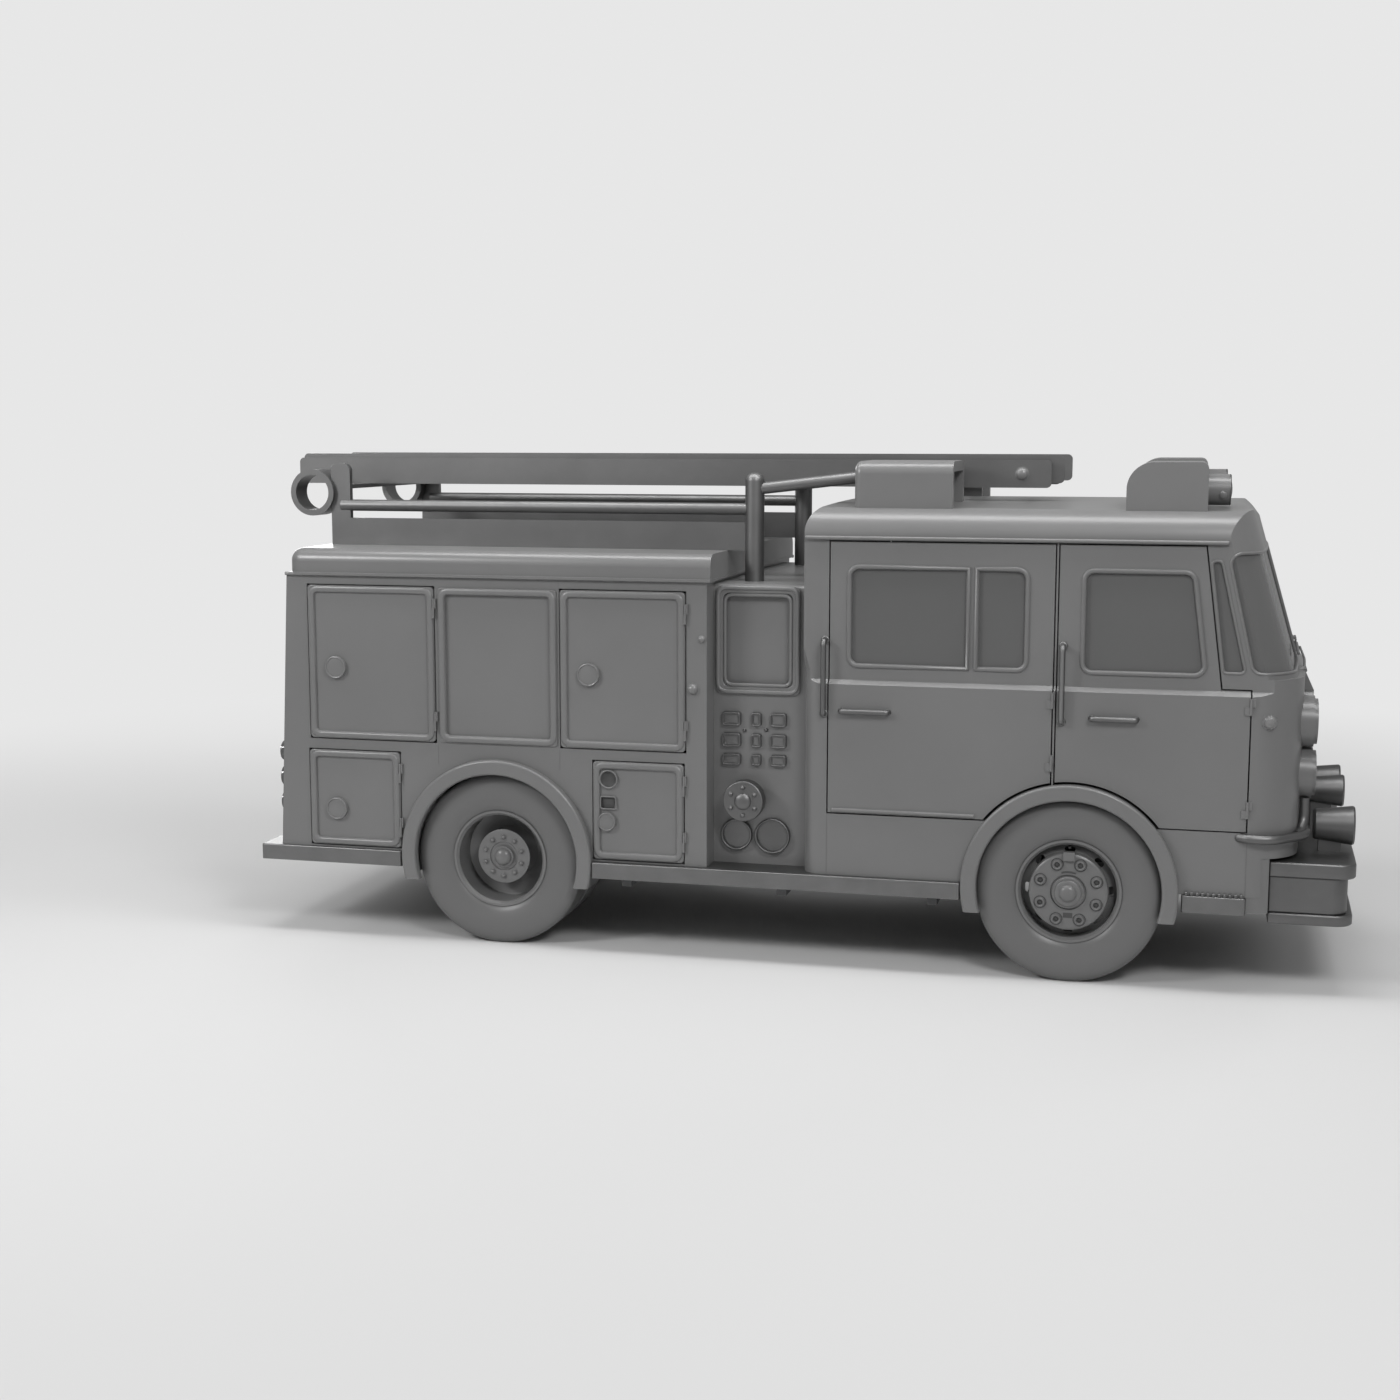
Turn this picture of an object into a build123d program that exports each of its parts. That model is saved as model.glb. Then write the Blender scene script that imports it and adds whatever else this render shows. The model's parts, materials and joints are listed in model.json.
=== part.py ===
from build123d import *
import os
from math import radians, sqrt, tan

# Compact two-axle pumping fire engine, in millimetres.
# +X points to the front, +Y to the vehicle's left, +Z up.
# The origin lies on the ground at the middle of the overall length and width.

os.makedirs("parts", exist_ok=True)

# Gaps between pieces
seat_gap = 0.3          # between a piece and what it sits on
door_gap = 8            # round a cab door
locker_gap = 6          # round a locker door
pin_gap = 0.3           # round a shaft in its bore, on the radius

# Overall sizes
front_x = 3330          # foremost edge of the bumper
rear_x = -3330          # tail of the ladder
half_width = 1250       # outer face of the wheel arches
side_y = 1200           # flank of the cab
body_y = 1195           # flank of the locker body

# Axles and tyres
front_axle_x = 1745
rear_axle_x = -1715
tyre_r = 530
axle_z = tyre_r
tyre_section = 276
tyre_tread = 216
rim_r = 286
rim_lip_r = 300
front_track_y = 1060    # middle of a front tyre
twin_outer_y = 1042     # middle of an outer rear tyre
twin_pitch = 304        # between the middles of a pair of rear tyres
kingpin_y = 900
kingpin_r = 20
spindle_r = 34
steer_arm = 220
steer_rod_r = 18

# Frame
rail_y = 430            # outer face of a frame rail
rail_flange = 80
rail_wall = 9
rail_bottom = 700
rail_top = 940
rail_front_x = 2844.7
rail_rear_x = -3040

# Wheel arches
arch_lip_inner_r = 522
arch_lip_outer_r = 614
arch_liner_wall = 7
arch_z = 545
arch_foot_z = 392
arch_inner_y = 605

# Step boards
step_top = 558
step_thick = 97
step_out = 28           # how far a front step stands out of the cab
board_y = 1240
tailboard_y = 1220
tailboard_front_x = rear_axle_x - arch_lip_outer_r - 12
tailboard_rear_x = -3290

# Locker body
body_rear_x = -3157
body_front_x = -388
body_lean = 80          # how far the rear face leans forward at the top
body_bottom = step_top + seat_gap
body_top = 2268
body_wall = 30
locker_depth = 550
hose_floor = 1720
cap_top = 2430
cap_drip = 14
cap_y = 1202
cap_round = 78
drip_y = 1220
bed_y = 700

# Pump bay between cab and locker body
pump_y = 1022
pump_top = 2246
pump_rear_x = body_front_x + seat_gap

# Cab
cab_rear_x = 190
cab_front_x = 3040
cab_foot = step_top + seat_gap
cab_nose_foot = 780
cab_nose_x = 2800
cowl_x = 3006
cowl_z = 1785
belt_z = 1700
upper_y = 1170
roof_edge_z = 2540
roof_z = 2735
roof_r = 165
roof_crown = 25         # how far the roof's edges lie below its middle
screen_rake = 16.5      # degrees back from upright
front_corner_r = 300
rear_corner_r = 120
nose_bow = 36
cab_wall = 42
screen_clear = 3        # roof profile ahead of the bowed screen
glass_set = 14
glass_thick = 8
floor_thick = 24
cab_floor_z = rail_top + seat_gap + floor_thick
wheel_box_z = arch_z + arch_lip_outer_r + 12

# Cab doors
door_bottom = 932
door_top = 2515
crew_door_rear = 345
door_split = 1640       # middle of the pillar between crew door and front door
pillar_face = 10        # width of that pillar between the doors
front_door_front = 2710
window_bottom = 1797
window_top = 2373
window_round = 58
hinge_out = 9           # hinge line outside the flank
hinge_r = 8
hinge_length = 46

# Bumper
bumper_rear_x = 2845
bumper_y = 1150
bumper_top = 761
bumper_lip = 676
bumper_shelf = 470
bumper_foot = 407
bumper_recess = 40

# Ladder and its rack
rack_y = 750
rack_board_top = 2600
rear_post_x = -2895
front_post_x = -200
rear_post_top = 2946
front_post_top = 2900
ladder_z = 2810
ladder_rail = 165
ladder_rail_wall = 25
ladder_front_x = 1540
ladder_y = 440
fly_y = 372
fly_front_x = 1612
rung_pitch = 305
rung_r = 12

rake_dx = tan(radians(screen_rake))


def keep(builder, name):
    builder.part.label = name
    export_step(builder.part, f"parts/{name}.step")


def side_plane(side, y):
    """Upright plane at the given distance out on one side, X along the vehicle."""
    return Plane.XZ.offset(-side * y)


def polygon(points, plane, radius=0):
    """Closed outline from a few corners, all rounded to one radius."""
    with BuildSketch(plane, mode=Mode.PRIVATE) as outline:
        with BuildLine():
            Polyline(*points, close=True)
        make_face()
        if radius:
            fillet(outline.vertices(), radius=radius)
    return outline.sketch


def box(low, high, mode=Mode.ADD):
    """Block between two corners, in the part being built."""
    middle = [(a + b) / 2 for a, b in zip(low, high)]
    with Locations(tuple(middle)):
        Box(*[b - a for a, b in zip(low, high)], mode=mode)


def rod(start, end, radius, mode=Mode.ADD):
    """Round bar between two points, in the part being built."""
    path = Vector(*end) - Vector(*start)
    with BuildSketch(Plane(origin=start, z_dir=path), mode=Mode.PRIVATE) as section:
        Circle(radius)
    extrude(section.sketch, amount=path.length, mode=mode)


def bent_tube(points, bend, radius):
    """Round tube along straight runs with bent corners, in the part being built."""
    with BuildLine(mode=Mode.PRIVATE) as route:
        FilletPolyline(*points, radius=bend)
    with BuildSketch(Plane(origin=route.line @ 0, z_dir=route.line % 0), mode=Mode.PRIVATE) as ring:
        Circle(radius)
    sweep(ring.sketch, path=route.line)


def hinge_barrels(side, line, flank, heights, size, leaf):
    """Barrels on an upright hinge line, each with a leaf back to the flank it belongs to."""
    x, y = line
    radius, length = size
    near, far = sorted((x, x + leaf))
    low, high = sorted((side * (flank - 3), side * y))
    for z in heights:
        rod((x, side * y, z), (x, side * y, z + length), radius)
        box((near, low, z), (far, high, z + length))


def wheel_plane(axle_x, side):
    """Half section through a wheel: local x points outboard, local y is the radius."""
    return Plane(origin=(axle_x, 0, axle_z), x_dir=(0, side, 0), z_dir=(side, 0, 0))


def turned(points, axle_x, side, mode=Mode.ADD):
    """Solid of revolution about an axle, from corners of its half section."""
    revolve(polygon(points, wheel_plane(axle_x, side)),
            axis=Axis((axle_x, 0, axle_z), (0, 1, 0)), mode=mode)


def cab_plan(front, inset, plane):
    """Plan of the cab with rounded corners and a slightly bowed front."""
    shoulder = side_y - front_corner_r
    with BuildSketch(plane, mode=Mode.PRIVATE) as plan:
        with BuildLine():
            nose = ThreePointArc((front - nose_bow, -shoulder), (front, 0),
                                 (front - nose_bow, shoulder))
            left = Line((cab_rear_x, side_y), (front - nose_bow - front_corner_r, side_y))
            right = Line((cab_rear_x, -side_y), (front - nose_bow - front_corner_r, -side_y))
            RadiusArc(left @ 1, nose @ 1, front_corner_r)
            RadiusArc(nose @ 0, right @ 1, front_corner_r)
            Line(right @ 0, left @ 0)
        make_face()
        corners = plan.vertices().group_by(Axis.X)[0]
        fillet(corners, radius=rear_corner_r)
        if inset:
            offset(amount=-inset, kind=Kind.INTERSECTION)
    return plan.sketch


def cab_form(inset):
    """Whole outer form of the cab, every face moved inwards by the inset."""
    foot = cab_foot + inset
    with BuildPart(mode=Mode.PRIVATE) as form:
        extrude(cab_plan(cab_front_x, inset, Plane.XY.offset(foot)),
                amount=cowl_z - inset - foot)
        start = cowl_z - inset - 20
        front = cowl_x + (inset + 20) * rake_dx
        height = roof_z - start
        extrude(cab_plan(front, inset, Plane.XY.offset(start)),
                dir=(-rake_dx, 0, 1), amount=height * sqrt(1 + rake_dx ** 2))
        # side profile: upright back, rounded roof ends, raised nose
        screen_top_x = cowl_x + screen_clear - (roof_z - cowl_z) * rake_dx
        with BuildSketch(Plane.XZ, mode=Mode.PRIVATE) as profile:
            with BuildLine():
                Polyline((cab_rear_x, cab_foot), (cab_rear_x, roof_z), (screen_top_x, roof_z),
                         (cowl_x + screen_clear, cowl_z), (cab_front_x + 60, cowl_z),
                         (cab_front_x + 60, cab_nose_foot), (cab_nose_x, cab_nose_foot),
                         (cab_nose_x, cab_foot), close=True)
            make_face()
            top = profile.vertices().group_by(Axis.Y)[-1]
            fillet(top, radius=roof_r)
            if inset:
                offset(amount=-inset, kind=Kind.INTERSECTION)
        extrude(profile.sketch, amount=side_y + 50, both=True, mode=Mode.INTERSECT)
        # cross section: belt crease, slightly narrower upper half, rounded roof edges
        crown_y, crown_z = upper_y - roof_r, roof_z - roof_crown
        bend_y = upper_y - roof_r * (1 - sqrt(0.5))
        bend_z = roof_edge_z + (crown_z - roof_edge_z) * sqrt(0.5)
        with BuildSketch(Plane.YZ, mode=Mode.PRIVATE) as section:
            with BuildLine():
                for side in (-1, 1):
                    ThreePointArc((side * upper_y, roof_edge_z), (side * bend_y, bend_z),
                                  (side * crown_y, crown_z))
                    Polyline((side * upper_y, roof_edge_z), (side * upper_y, belt_z + 15),
                             (side * side_y, belt_z - 10), (side * side_y, cab_foot))
                ThreePointArc((-crown_y, crown_z), (0, roof_z), (crown_y, crown_z))
                Line((-side_y, cab_foot), (side_y, cab_foot))
            make_face()
            if inset:
                offset(amount=-inset, kind=Kind.INTERSECTION)
        extrude(section.sketch, amount=cab_front_x + 100, both=True, mode=Mode.INTERSECT)
    return form.part


cab_outer = cab_form(0)
cab_seat = cab_form(-seat_gap)
cab_inner = cab_form(cab_wall)
glass_outer = cab_form(glass_set)
glass_inner = cab_form(glass_set + glass_thick)


def screen_rear(z):
    """Rear edge of the windscreen where it wraps round the corner pillar."""
    return 2590 + (2350 - z) * 0.238


def door_front(z):
    """Leaning front edge of the front door beside the quarter window."""
    return 2444 + (door_top - z) * 0.134


screen_low, screen_high = 1815, 2480
screen_outline = [(screen_rear(screen_low), screen_low), (cab_front_x + 200, screen_low),
                  (cab_front_x + 200, screen_high), (screen_rear(screen_high), screen_high)]
quarter_low, quarter_high, quarter_round = 1815, 2440, 26
pillar, quarter_post = 36, 20
quarter_outline = [(door_front(quarter_low) + quarter_post, quarter_low),
                   (screen_rear(quarter_low) - pillar, quarter_low),
                   (screen_rear(quarter_high) - pillar, quarter_high),
                   (door_front(quarter_high) + quarter_post, quarter_high)]
crew_window = [(455, window_bottom), (1477, window_bottom), (1477, window_top), (455, window_top)]
front_window = [(1787, window_bottom), (door_front(window_bottom) - 74, window_bottom),
                (door_front(window_top) - 74, window_top), (1787, window_top)]
crew_door_front = door_split - pillar_face / 2 - door_gap
front_door_rear = door_split + pillar_face / 2 + door_gap
crew_outline = [(crew_door_rear, door_bottom), (crew_door_front, door_bottom),
                (crew_door_front, door_top), (crew_door_rear, door_top)]
front_outline = [(front_door_rear, door_bottom), (front_door_front, door_bottom),
                 (front_door_front, belt_z + 20), (door_front(belt_z + 20), belt_z + 20),
                 (door_front(door_top), door_top), (front_door_rear, door_top)]
arch_door_gap = 14

# Hinge lines of the cab doors: name, line in plan, heights, reach of the fixed leaf
cab_hinges = {
    "crew_door": ((crew_door_front + door_gap / 2, side_y + hinge_out), (1230, 1590),
                  pillar_face + door_gap / 2),
    "front_door": ((front_door_front + door_gap / 2, side_y + hinge_out), (1010, 1590), 24),
}
glass_play = 0.3

# Frame: two channel rails, cross members, spring hangers and step outriggers
cross_member_x = (2500, 180, -760, -2350, -2980)
outrigger_x = (960, 60, -900)
with BuildPart() as chassis_frame:
    for side in (-1, 1):
        inner = side * (rail_y - rail_flange)
        outer = side * rail_y
        section = [(outer, rail_bottom), (inner, rail_bottom), (inner, rail_bottom + rail_wall),
                   (outer - side * rail_wall, rail_bottom + rail_wall),
                   (outer - side * rail_wall, rail_top - rail_wall),
                   (inner, rail_top - rail_wall), (inner, rail_top), (outer, rail_top)]
        extrude(polygon(section, Plane.YZ.offset(rail_rear_x)), amount=rail_front_x - rail_rear_x)
        for x in outrigger_x:
            low = sorted((outer - side * 50, outer + side * 4))
            box((x - 30, low[0], step_top - step_thick - 60.3), (x + 30, low[1], rail_bottom + 2))
            arm = sorted((outer - side * 50, side * 1150))
            box((x - 30, arm[0], step_top - step_thick - 60.3),
                (x + 30, arm[1], step_top - step_thick - seat_gap))
    for x in cross_member_x:
        box((x - 40, -rail_y + rail_wall / 2, rail_bottom + 64),
            (x + 40, rail_y - rail_wall / 2, rail_top - 36))
keep(chassis_frame, "chassis_frame")

# Engine: one closed block between the rails
engine_y = rail_y - rail_flange - seat_gap
engine_rear_x, engine_front_x = 900, 2080
engine_low, engine_high = 640, 1400
with BuildPart() as engine_block:
    box((engine_rear_x, -engine_y, engine_low), (engine_front_x, engine_y, engine_high))
    fillet(engine_block.edges().filter_by(Axis.X), radius=60)
keep(engine_block, "engine_block")

# Gearbox, propeller shaft and its joints
shaft_r = 45
output_z = 700
nose_reach, nose_z = 300, 560      # front flange of the rear axle
with BuildPart() as driveline:
    with BuildSketch(Plane.YZ.offset(engine_rear_x - seat_gap)) as bell:
        with Locations((0, 760)):
            Circle(168)
    with BuildSketch(Plane.YZ.offset(engine_rear_x - 560)) as tail:
        with Locations((0, output_z)):
            Circle(105)
    loft()
    rod((engine_rear_x - 550, 0, output_z), (engine_rear_x - 620, 0, output_z), 66)
    rod((engine_rear_x - 600, 0, output_z), (rear_axle_x + nose_reach + 30, 0, nose_z), shaft_r)
    rod((rear_axle_x + nose_reach + 50, 0, nose_z), (rear_axle_x + nose_reach + seat_gap, 0, nose_z), 58)
keep(driveline, "driveline")

# Front axle beam with drop centre and eyes for the kingpins
beam_low, beam_high = 455, 545
eye_r, eye_low, eye_high = 46, 480, 590
with BuildPart() as front_axle:
    beam = [(-kingpin_y, eye_low + 15), (-760, beam_low), (760, beam_low), (kingpin_y, eye_low + 15),
            (kingpin_y, eye_high - 15), (740, beam_high), (-740, beam_high), (-kingpin_y, eye_high - 15)]
    extrude(polygon(beam, Plane.YZ.offset(front_axle_x - 42)), amount=84)
    for side in (-1, 1):
        rod((front_axle_x, side * kingpin_y, eye_low), (front_axle_x, side * kingpin_y, eye_high), eye_r)
        rod((front_axle_x, side * kingpin_y, eye_low - 1), (front_axle_x, side * kingpin_y, eye_high + 1),
            kingpin_r + pin_gap, mode=Mode.SUBTRACT)
keep(front_axle, "front_axle")

# Rear axle casing with its final drive housing and two spindles
drive_r = 165
rear_spring_y, spring_pad = 490, 90
hub_bore_r = 62
rear_spindle_y = twin_outer_y + 10
with BuildPart() as rear_axle:
    casing = [(-585, 0), (-585, 74), (-260, 86), (-170, drive_r * 0.8), (-90, drive_r), (90, drive_r),
              (170, drive_r * 0.8), (260, 86), (585, 74), (585, 0)]
    turned(casing, rear_axle_x, 1)
    rod((rear_axle_x, -rear_spindle_y, axle_z), (rear_axle_x, rear_spindle_y, axle_z),
        hub_bore_r - pin_gap)
    rod((rear_axle_x + 100, 0, nose_z), (rear_axle_x + nose_reach, 0, nose_z), 80)
    for side in (-1, 1):
        pad = sorted((side * (rear_spring_y - 38), side * (rear_spring_y + 38)))
        box((rear_axle_x - 60, pad[0], axle_z - 80), (rear_axle_x + 60, pad[1], axle_z + spring_pad))
keep(rear_axle, "rear_axle")

# Leaf springs, each a stack of curved leaves between hangers on its rail
leaf_count, leaf_thick, leaf_width = 5, 12, 76
spring_stations = (
    (front_axle_x, 390, 620, beam_high + seat_gap),
    (rear_axle_x, rear_spring_y, 640, axle_z + spring_pad + seat_gap),
)
with BuildPart() as leaf_springs:
    for axle_x, spring_y, span, low in spring_stations:
        for side in (-1, 1):
            high = rail_bottom - seat_gap
            rise = high - low - leaf_thick
            for leaf in range(leaf_count):
                reach = span * (1 - 0.17 * (leaf_count - 1 - leaf))
                z0 = low + leaf * leaf_thick
                lift = (rise - leaf * leaf_thick) * (reach / span) ** 2 * 0.55
                with BuildSketch(side_plane(side, spring_y - leaf_width / 2)) as strip:
                    with BuildLine():
                        bottom = ThreePointArc((axle_x - reach, z0 + lift), (axle_x, z0),
                                               (axle_x + reach, z0 + lift))
                        crown = ThreePointArc((axle_x - reach, z0 + lift + leaf_thick),
                                              (axle_x, z0 + leaf_thick),
                                              (axle_x + reach, z0 + lift + leaf_thick))
                        Line(bottom @ 0, crown @ 0)
                        Line(bottom @ 1, crown @ 1)
                    make_face()
                extrude(amount=-side * leaf_width)
            for end in (-1, 1):
                x = axle_x + end * (span - 22)
                edge = sorted((side * (spring_y - leaf_width / 2), side * (spring_y + leaf_width / 2)))
                box((x - 22, edge[0], z0 + 20), (x + 22, edge[1], high))
keep(leaf_springs, "leaf_springs")

# Water tank under the hose bed
tank_y = 568
with BuildPart() as water_tank:
    box((-2940, -tank_y, rail_top + seat_gap), (-560, tank_y, hose_floor - body_wall - seat_gap))
    fillet(water_tank.edges().filter_by(Axis.X), radius=40)
keep(water_tank, "water_tank")


def body_side(x0, x1, z0, z1):
    return [(x0, z0), (x1, z0), (x1, z1), (x0, z1)]


# Locker body: doors in a table of name, rear edge, front edge, foot, head
locker_doors = (
    ("upper_rear", -2937, -2104, 1250, 2206),
    ("upper_front", -1296, -518, 1250, 2206),
    ("lower_rear", -2950, -2345, 574, 1176),
    ("lower_front", -1094, -528, 574, 1176),
)
fixed_panel = (-2078, -1316, 1250, 2206)
tail_panel = (1560, 1180, 930)          # width, height and middle above the foot
# cavities: rear end, front end, floor, head
locker_rooms = (
    (-3050, -1440, 1236, 2226),
    (-1400, -420, 1236, 2226),
    (-3060, -2345, 588, 1206),
    (-1088, -420, 588, 1206),
)
door_lap = 26           # how far the frame stands in from the door's edge
leaf_out = 10           # how far a door stands out of the flank
rim_width, rim_round = 46, 7    # raised rim round a door or panel
locker_hinge = (6, 60)  # radius and length of a barrel
locker_hinge_y = body_y + leaf_out + 6


def locker_barrels(side, x1, z0, z1, fixed):
    length = locker_hinge[1]
    step = length + seat_gap if fixed else 0
    heights = [z0 + 70 + step, z1 - 70 - 2 * length + step]
    flank, leaf = (body_y, 14) if fixed else (body_y + leaf_out, -30)
    hinge_barrels(side, (x1 + locker_gap / 2, locker_hinge_y), flank, heights, locker_hinge, leaf)


inner_wall_y = body_y - locker_depth - body_wall
with BuildPart() as rear_body:
    flank = [(body_rear_x, body_bottom), (body_front_x, body_bottom), (body_front_x, body_top),
             (body_rear_x + body_lean, body_top)]
    extrude(polygon(flank, Plane.XZ), amount=body_y, both=True)
    for x0, x1, z0, z1 in locker_rooms:
        for side in (-1, 1):
            extrude(polygon(body_side(x0, x1, z0, z1), side_plane(side, inner_wall_y + body_wall)),
                    amount=-side * (locker_depth - body_wall), mode=Mode.SUBTRACT)
    for name, x0, x1, z0, z1 in locker_doors:
        for side in (-1, 1):
            # rebate that the door closes into, then the clear opening
            extrude(polygon(body_side(x0 - locker_gap, x1 + locker_gap, z0 - locker_gap, z1 + locker_gap),
                            side_plane(side, body_y + 1)), amount=side * (body_wall + 1.3),
                    mode=Mode.SUBTRACT)
            extrude(polygon(body_side(x0 + door_lap, x1 - door_lap, z0 + door_lap, z1 - door_lap),
                            side_plane(side, body_y + 1)), amount=side * (body_wall + 60),
                    mode=Mode.SUBTRACT)
            locker_barrels(side, x1, z0, z1, True)
    # rim and sunk field of the fixed middle panel
    x0, x1, z0, z1 = fixed_panel
    for side in (-1, 1):
        extrude(polygon(body_side(x0, x1, z0, z1), side_plane(side, body_y - 1), 24),
                amount=-side * (leaf_out + 1))
        extrude(polygon(body_side(x0 + rim_width, x1 - rim_width, z0 + rim_width, z1 - rim_width),
                        side_plane(side, body_y + leaf_out), 20), amount=side * (leaf_out + 12),
                mode=Mode.SUBTRACT)
    rims = rear_body.faces().filter_by(Axis.Y).filter_by(
        lambda f: abs(abs(f.center().Y) - body_y - leaf_out) < 0.1)
    fillet(rims.edges(), radius=rim_round)
    # rim and sunk field of the panel in the leaning tail
    tail = Plane(origin=(body_rear_x, 0, body_bottom), x_dir=(0, -1, 0),
                 z_dir=(body_bottom - body_top, 0, body_lean))
    for out, depth, edge, mode in ((-1, leaf_out + 1, 0, Mode.ADD),
                                   (leaf_out, -leaf_out - 12, rim_width, Mode.SUBTRACT)):
        with BuildSketch(tail.offset(out), mode=Mode.PRIVATE) as panel:
            with Locations((0, tail_panel[2])):
                RectangleRounded(tail_panel[0] - 2 * edge, tail_panel[1] - 2 * edge, 24)
        extrude(panel.sketch, amount=depth, mode=mode)
    # tunnel over the frame and tank, and the open hose bed above it
    inner = inner_wall_y
    box((body_rear_x + 100, -inner, 400), (body_front_x + 1, inner, hose_floor - body_wall),
        mode=Mode.SUBTRACT)
    box((-2930, -inner, hose_floor), (body_front_x - 62, inner, body_top + 1), mode=Mode.SUBTRACT)
    with BuildSketch(Plane.XZ, mode=Mode.PRIVATE) as wheel_cut:
        with Locations((rear_axle_x, arch_z)):
            Circle(arch_lip_outer_r - 2 + seat_gap)
    extrude(wheel_cut.sketch, amount=half_width, both=True, mode=Mode.SUBTRACT)
keep(rear_body, "rear_body")

# Roof cap of the locker body with its drip moulding, open over the hose bed
with BuildPart() as body_roof:
    lean_top = body_rear_x + body_lean
    base_z = body_top + seat_gap
    box((lean_top, -drip_y, base_z), (body_front_x + 28, drip_y, base_z + cap_drip))
    fillet(body_roof.edges().filter_by(Axis.Z).group_by(Axis.X)[0], radius=90)
    with BuildPart(mode=Mode.PRIVATE) as cap:
        box((lean_top + 12, -cap_y, base_z + cap_drip), (body_front_x + 24, cap_y, cap_top))
        fillet(cap.edges().filter_by(Axis.Z).group_by(Axis.X)[0], radius=cap_round + 4)
        # rounded along the sides and tail, cut square at the front
        crown = cap.faces().sort_by(Axis.Z)[-1]
        fillet(crown.edges().sort_by(Axis.X)[:-1], radius=cap_round)
    add(cap.part)
    box((-2920, -bed_y, base_z - 1), (body_front_x - 70, bed_y, cap_top + 1), mode=Mode.SUBTRACT)
keep(body_roof, "body_roof")

# Steps: tailboard, running boards and the small front steps
running_rear_x = rear_axle_x + arch_lip_outer_r + seat_gap
running_front_x = front_axle_x - arch_lip_outer_r - seat_gap
front_step_x = (front_axle_x + arch_lip_outer_r + 14, 2723)
with BuildPart() as step_boards:
    box((tailboard_rear_x, -tailboard_y, step_top - step_thick), (tailboard_front_x, tailboard_y, step_top))
    for side in (-1, 1):
        for x0, x1, edge, inner in ((running_rear_x, running_front_x, board_y, 900),
                                    (front_step_x[0], front_step_x[1], side_y + step_out, 760)):
            low = sorted((side * inner, side * edge))
            box((x0, low[0], step_top - step_thick), (x1, low[1], step_top))
    fillet(step_boards.edges().filter_by(Axis.Z), radius=14)
    fillet(step_boards.faces().filter_by(Axis.Z).group_by(Axis.Z)[-1].edges(), radius=8)
keep(step_boards, "step_boards")

# Wheel arches: a rounded lip outside and a thin liner reaching in over each wheel
arch_rows = (("front", front_axle_x, side_y), ("rear", rear_axle_x, body_y))
with BuildPart() as wheel_arches:
    for name, axle_x, flank_y in arch_rows:
        for side in (-1, 1):
            for inner_r, outer_r, start, end in (
                    (arch_lip_inner_r, arch_lip_outer_r, flank_y + seat_gap, half_width),
                    (arch_lip_outer_r - 2 - arch_liner_wall, arch_lip_outer_r - 2,
                     arch_inner_y, flank_y + 20)):
                with BuildSketch(side_plane(side, start), mode=Mode.PRIVATE) as ring:
                    with Locations((axle_x, arch_z)):
                        Circle(outer_r)
                        Circle(inner_r, mode=Mode.SUBTRACT)
                    with Locations((axle_x, arch_foot_z - 500)):
                        Rectangle(3 * outer_r, 1000, mode=Mode.SUBTRACT)
                extrude(ring.sketch, amount=-side * (end - start))
    rims = wheel_arches.edges().filter_by(GeomType.CIRCLE).filter_by(
        lambda e: abs(abs(e.center().Y) - half_width) < 1)
    fillet(rims, radius=16)
keep(wheel_arches, "wheel_arches")

# Pump bay: closed housing with a framed recess, gauge recesses and outlets on each side
frame_out, frame_sunk, frame_width = 14, 30, 46
with BuildPart() as pump_house:
    box((pump_rear_x, -pump_y, step_top + seat_gap), (cab_rear_x - seat_gap, pump_y, pump_top))
    fillet(pump_house.edges().filter_by(Axis.X).group_by(Axis.Z)[-1], radius=40)
    box((pump_rear_x - 1, -rail_y - 20, 400), (cab_rear_x + 1, rail_y + 20, 1090), mode=Mode.SUBTRACT)
    for side in (-1, 1):
        for depth, edge in ((-frame_out, 0), (frame_sunk, frame_width)):
            x0, x1, z0, z1 = -372 + edge, 142 - edge, 1590 + edge, 2240 - edge
            mode = Mode.ADD if depth < 0 else Mode.SUBTRACT
            extrude(polygon(body_side(x0, x1, z0, z1), side_plane(side, pump_y + (frame_out if edge else 0)), 36),
                    amount=side * (depth + (frame_out if edge else 0)), mode=mode)
    frames = pump_house.faces().filter_by(Axis.Y).filter_by(
        lambda f: abs(abs(f.center().Y) - pump_y - frame_out) < 0.1)
    fillet(frames.edges(), radius=7)
keep(pump_house, "pump_house")

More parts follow.
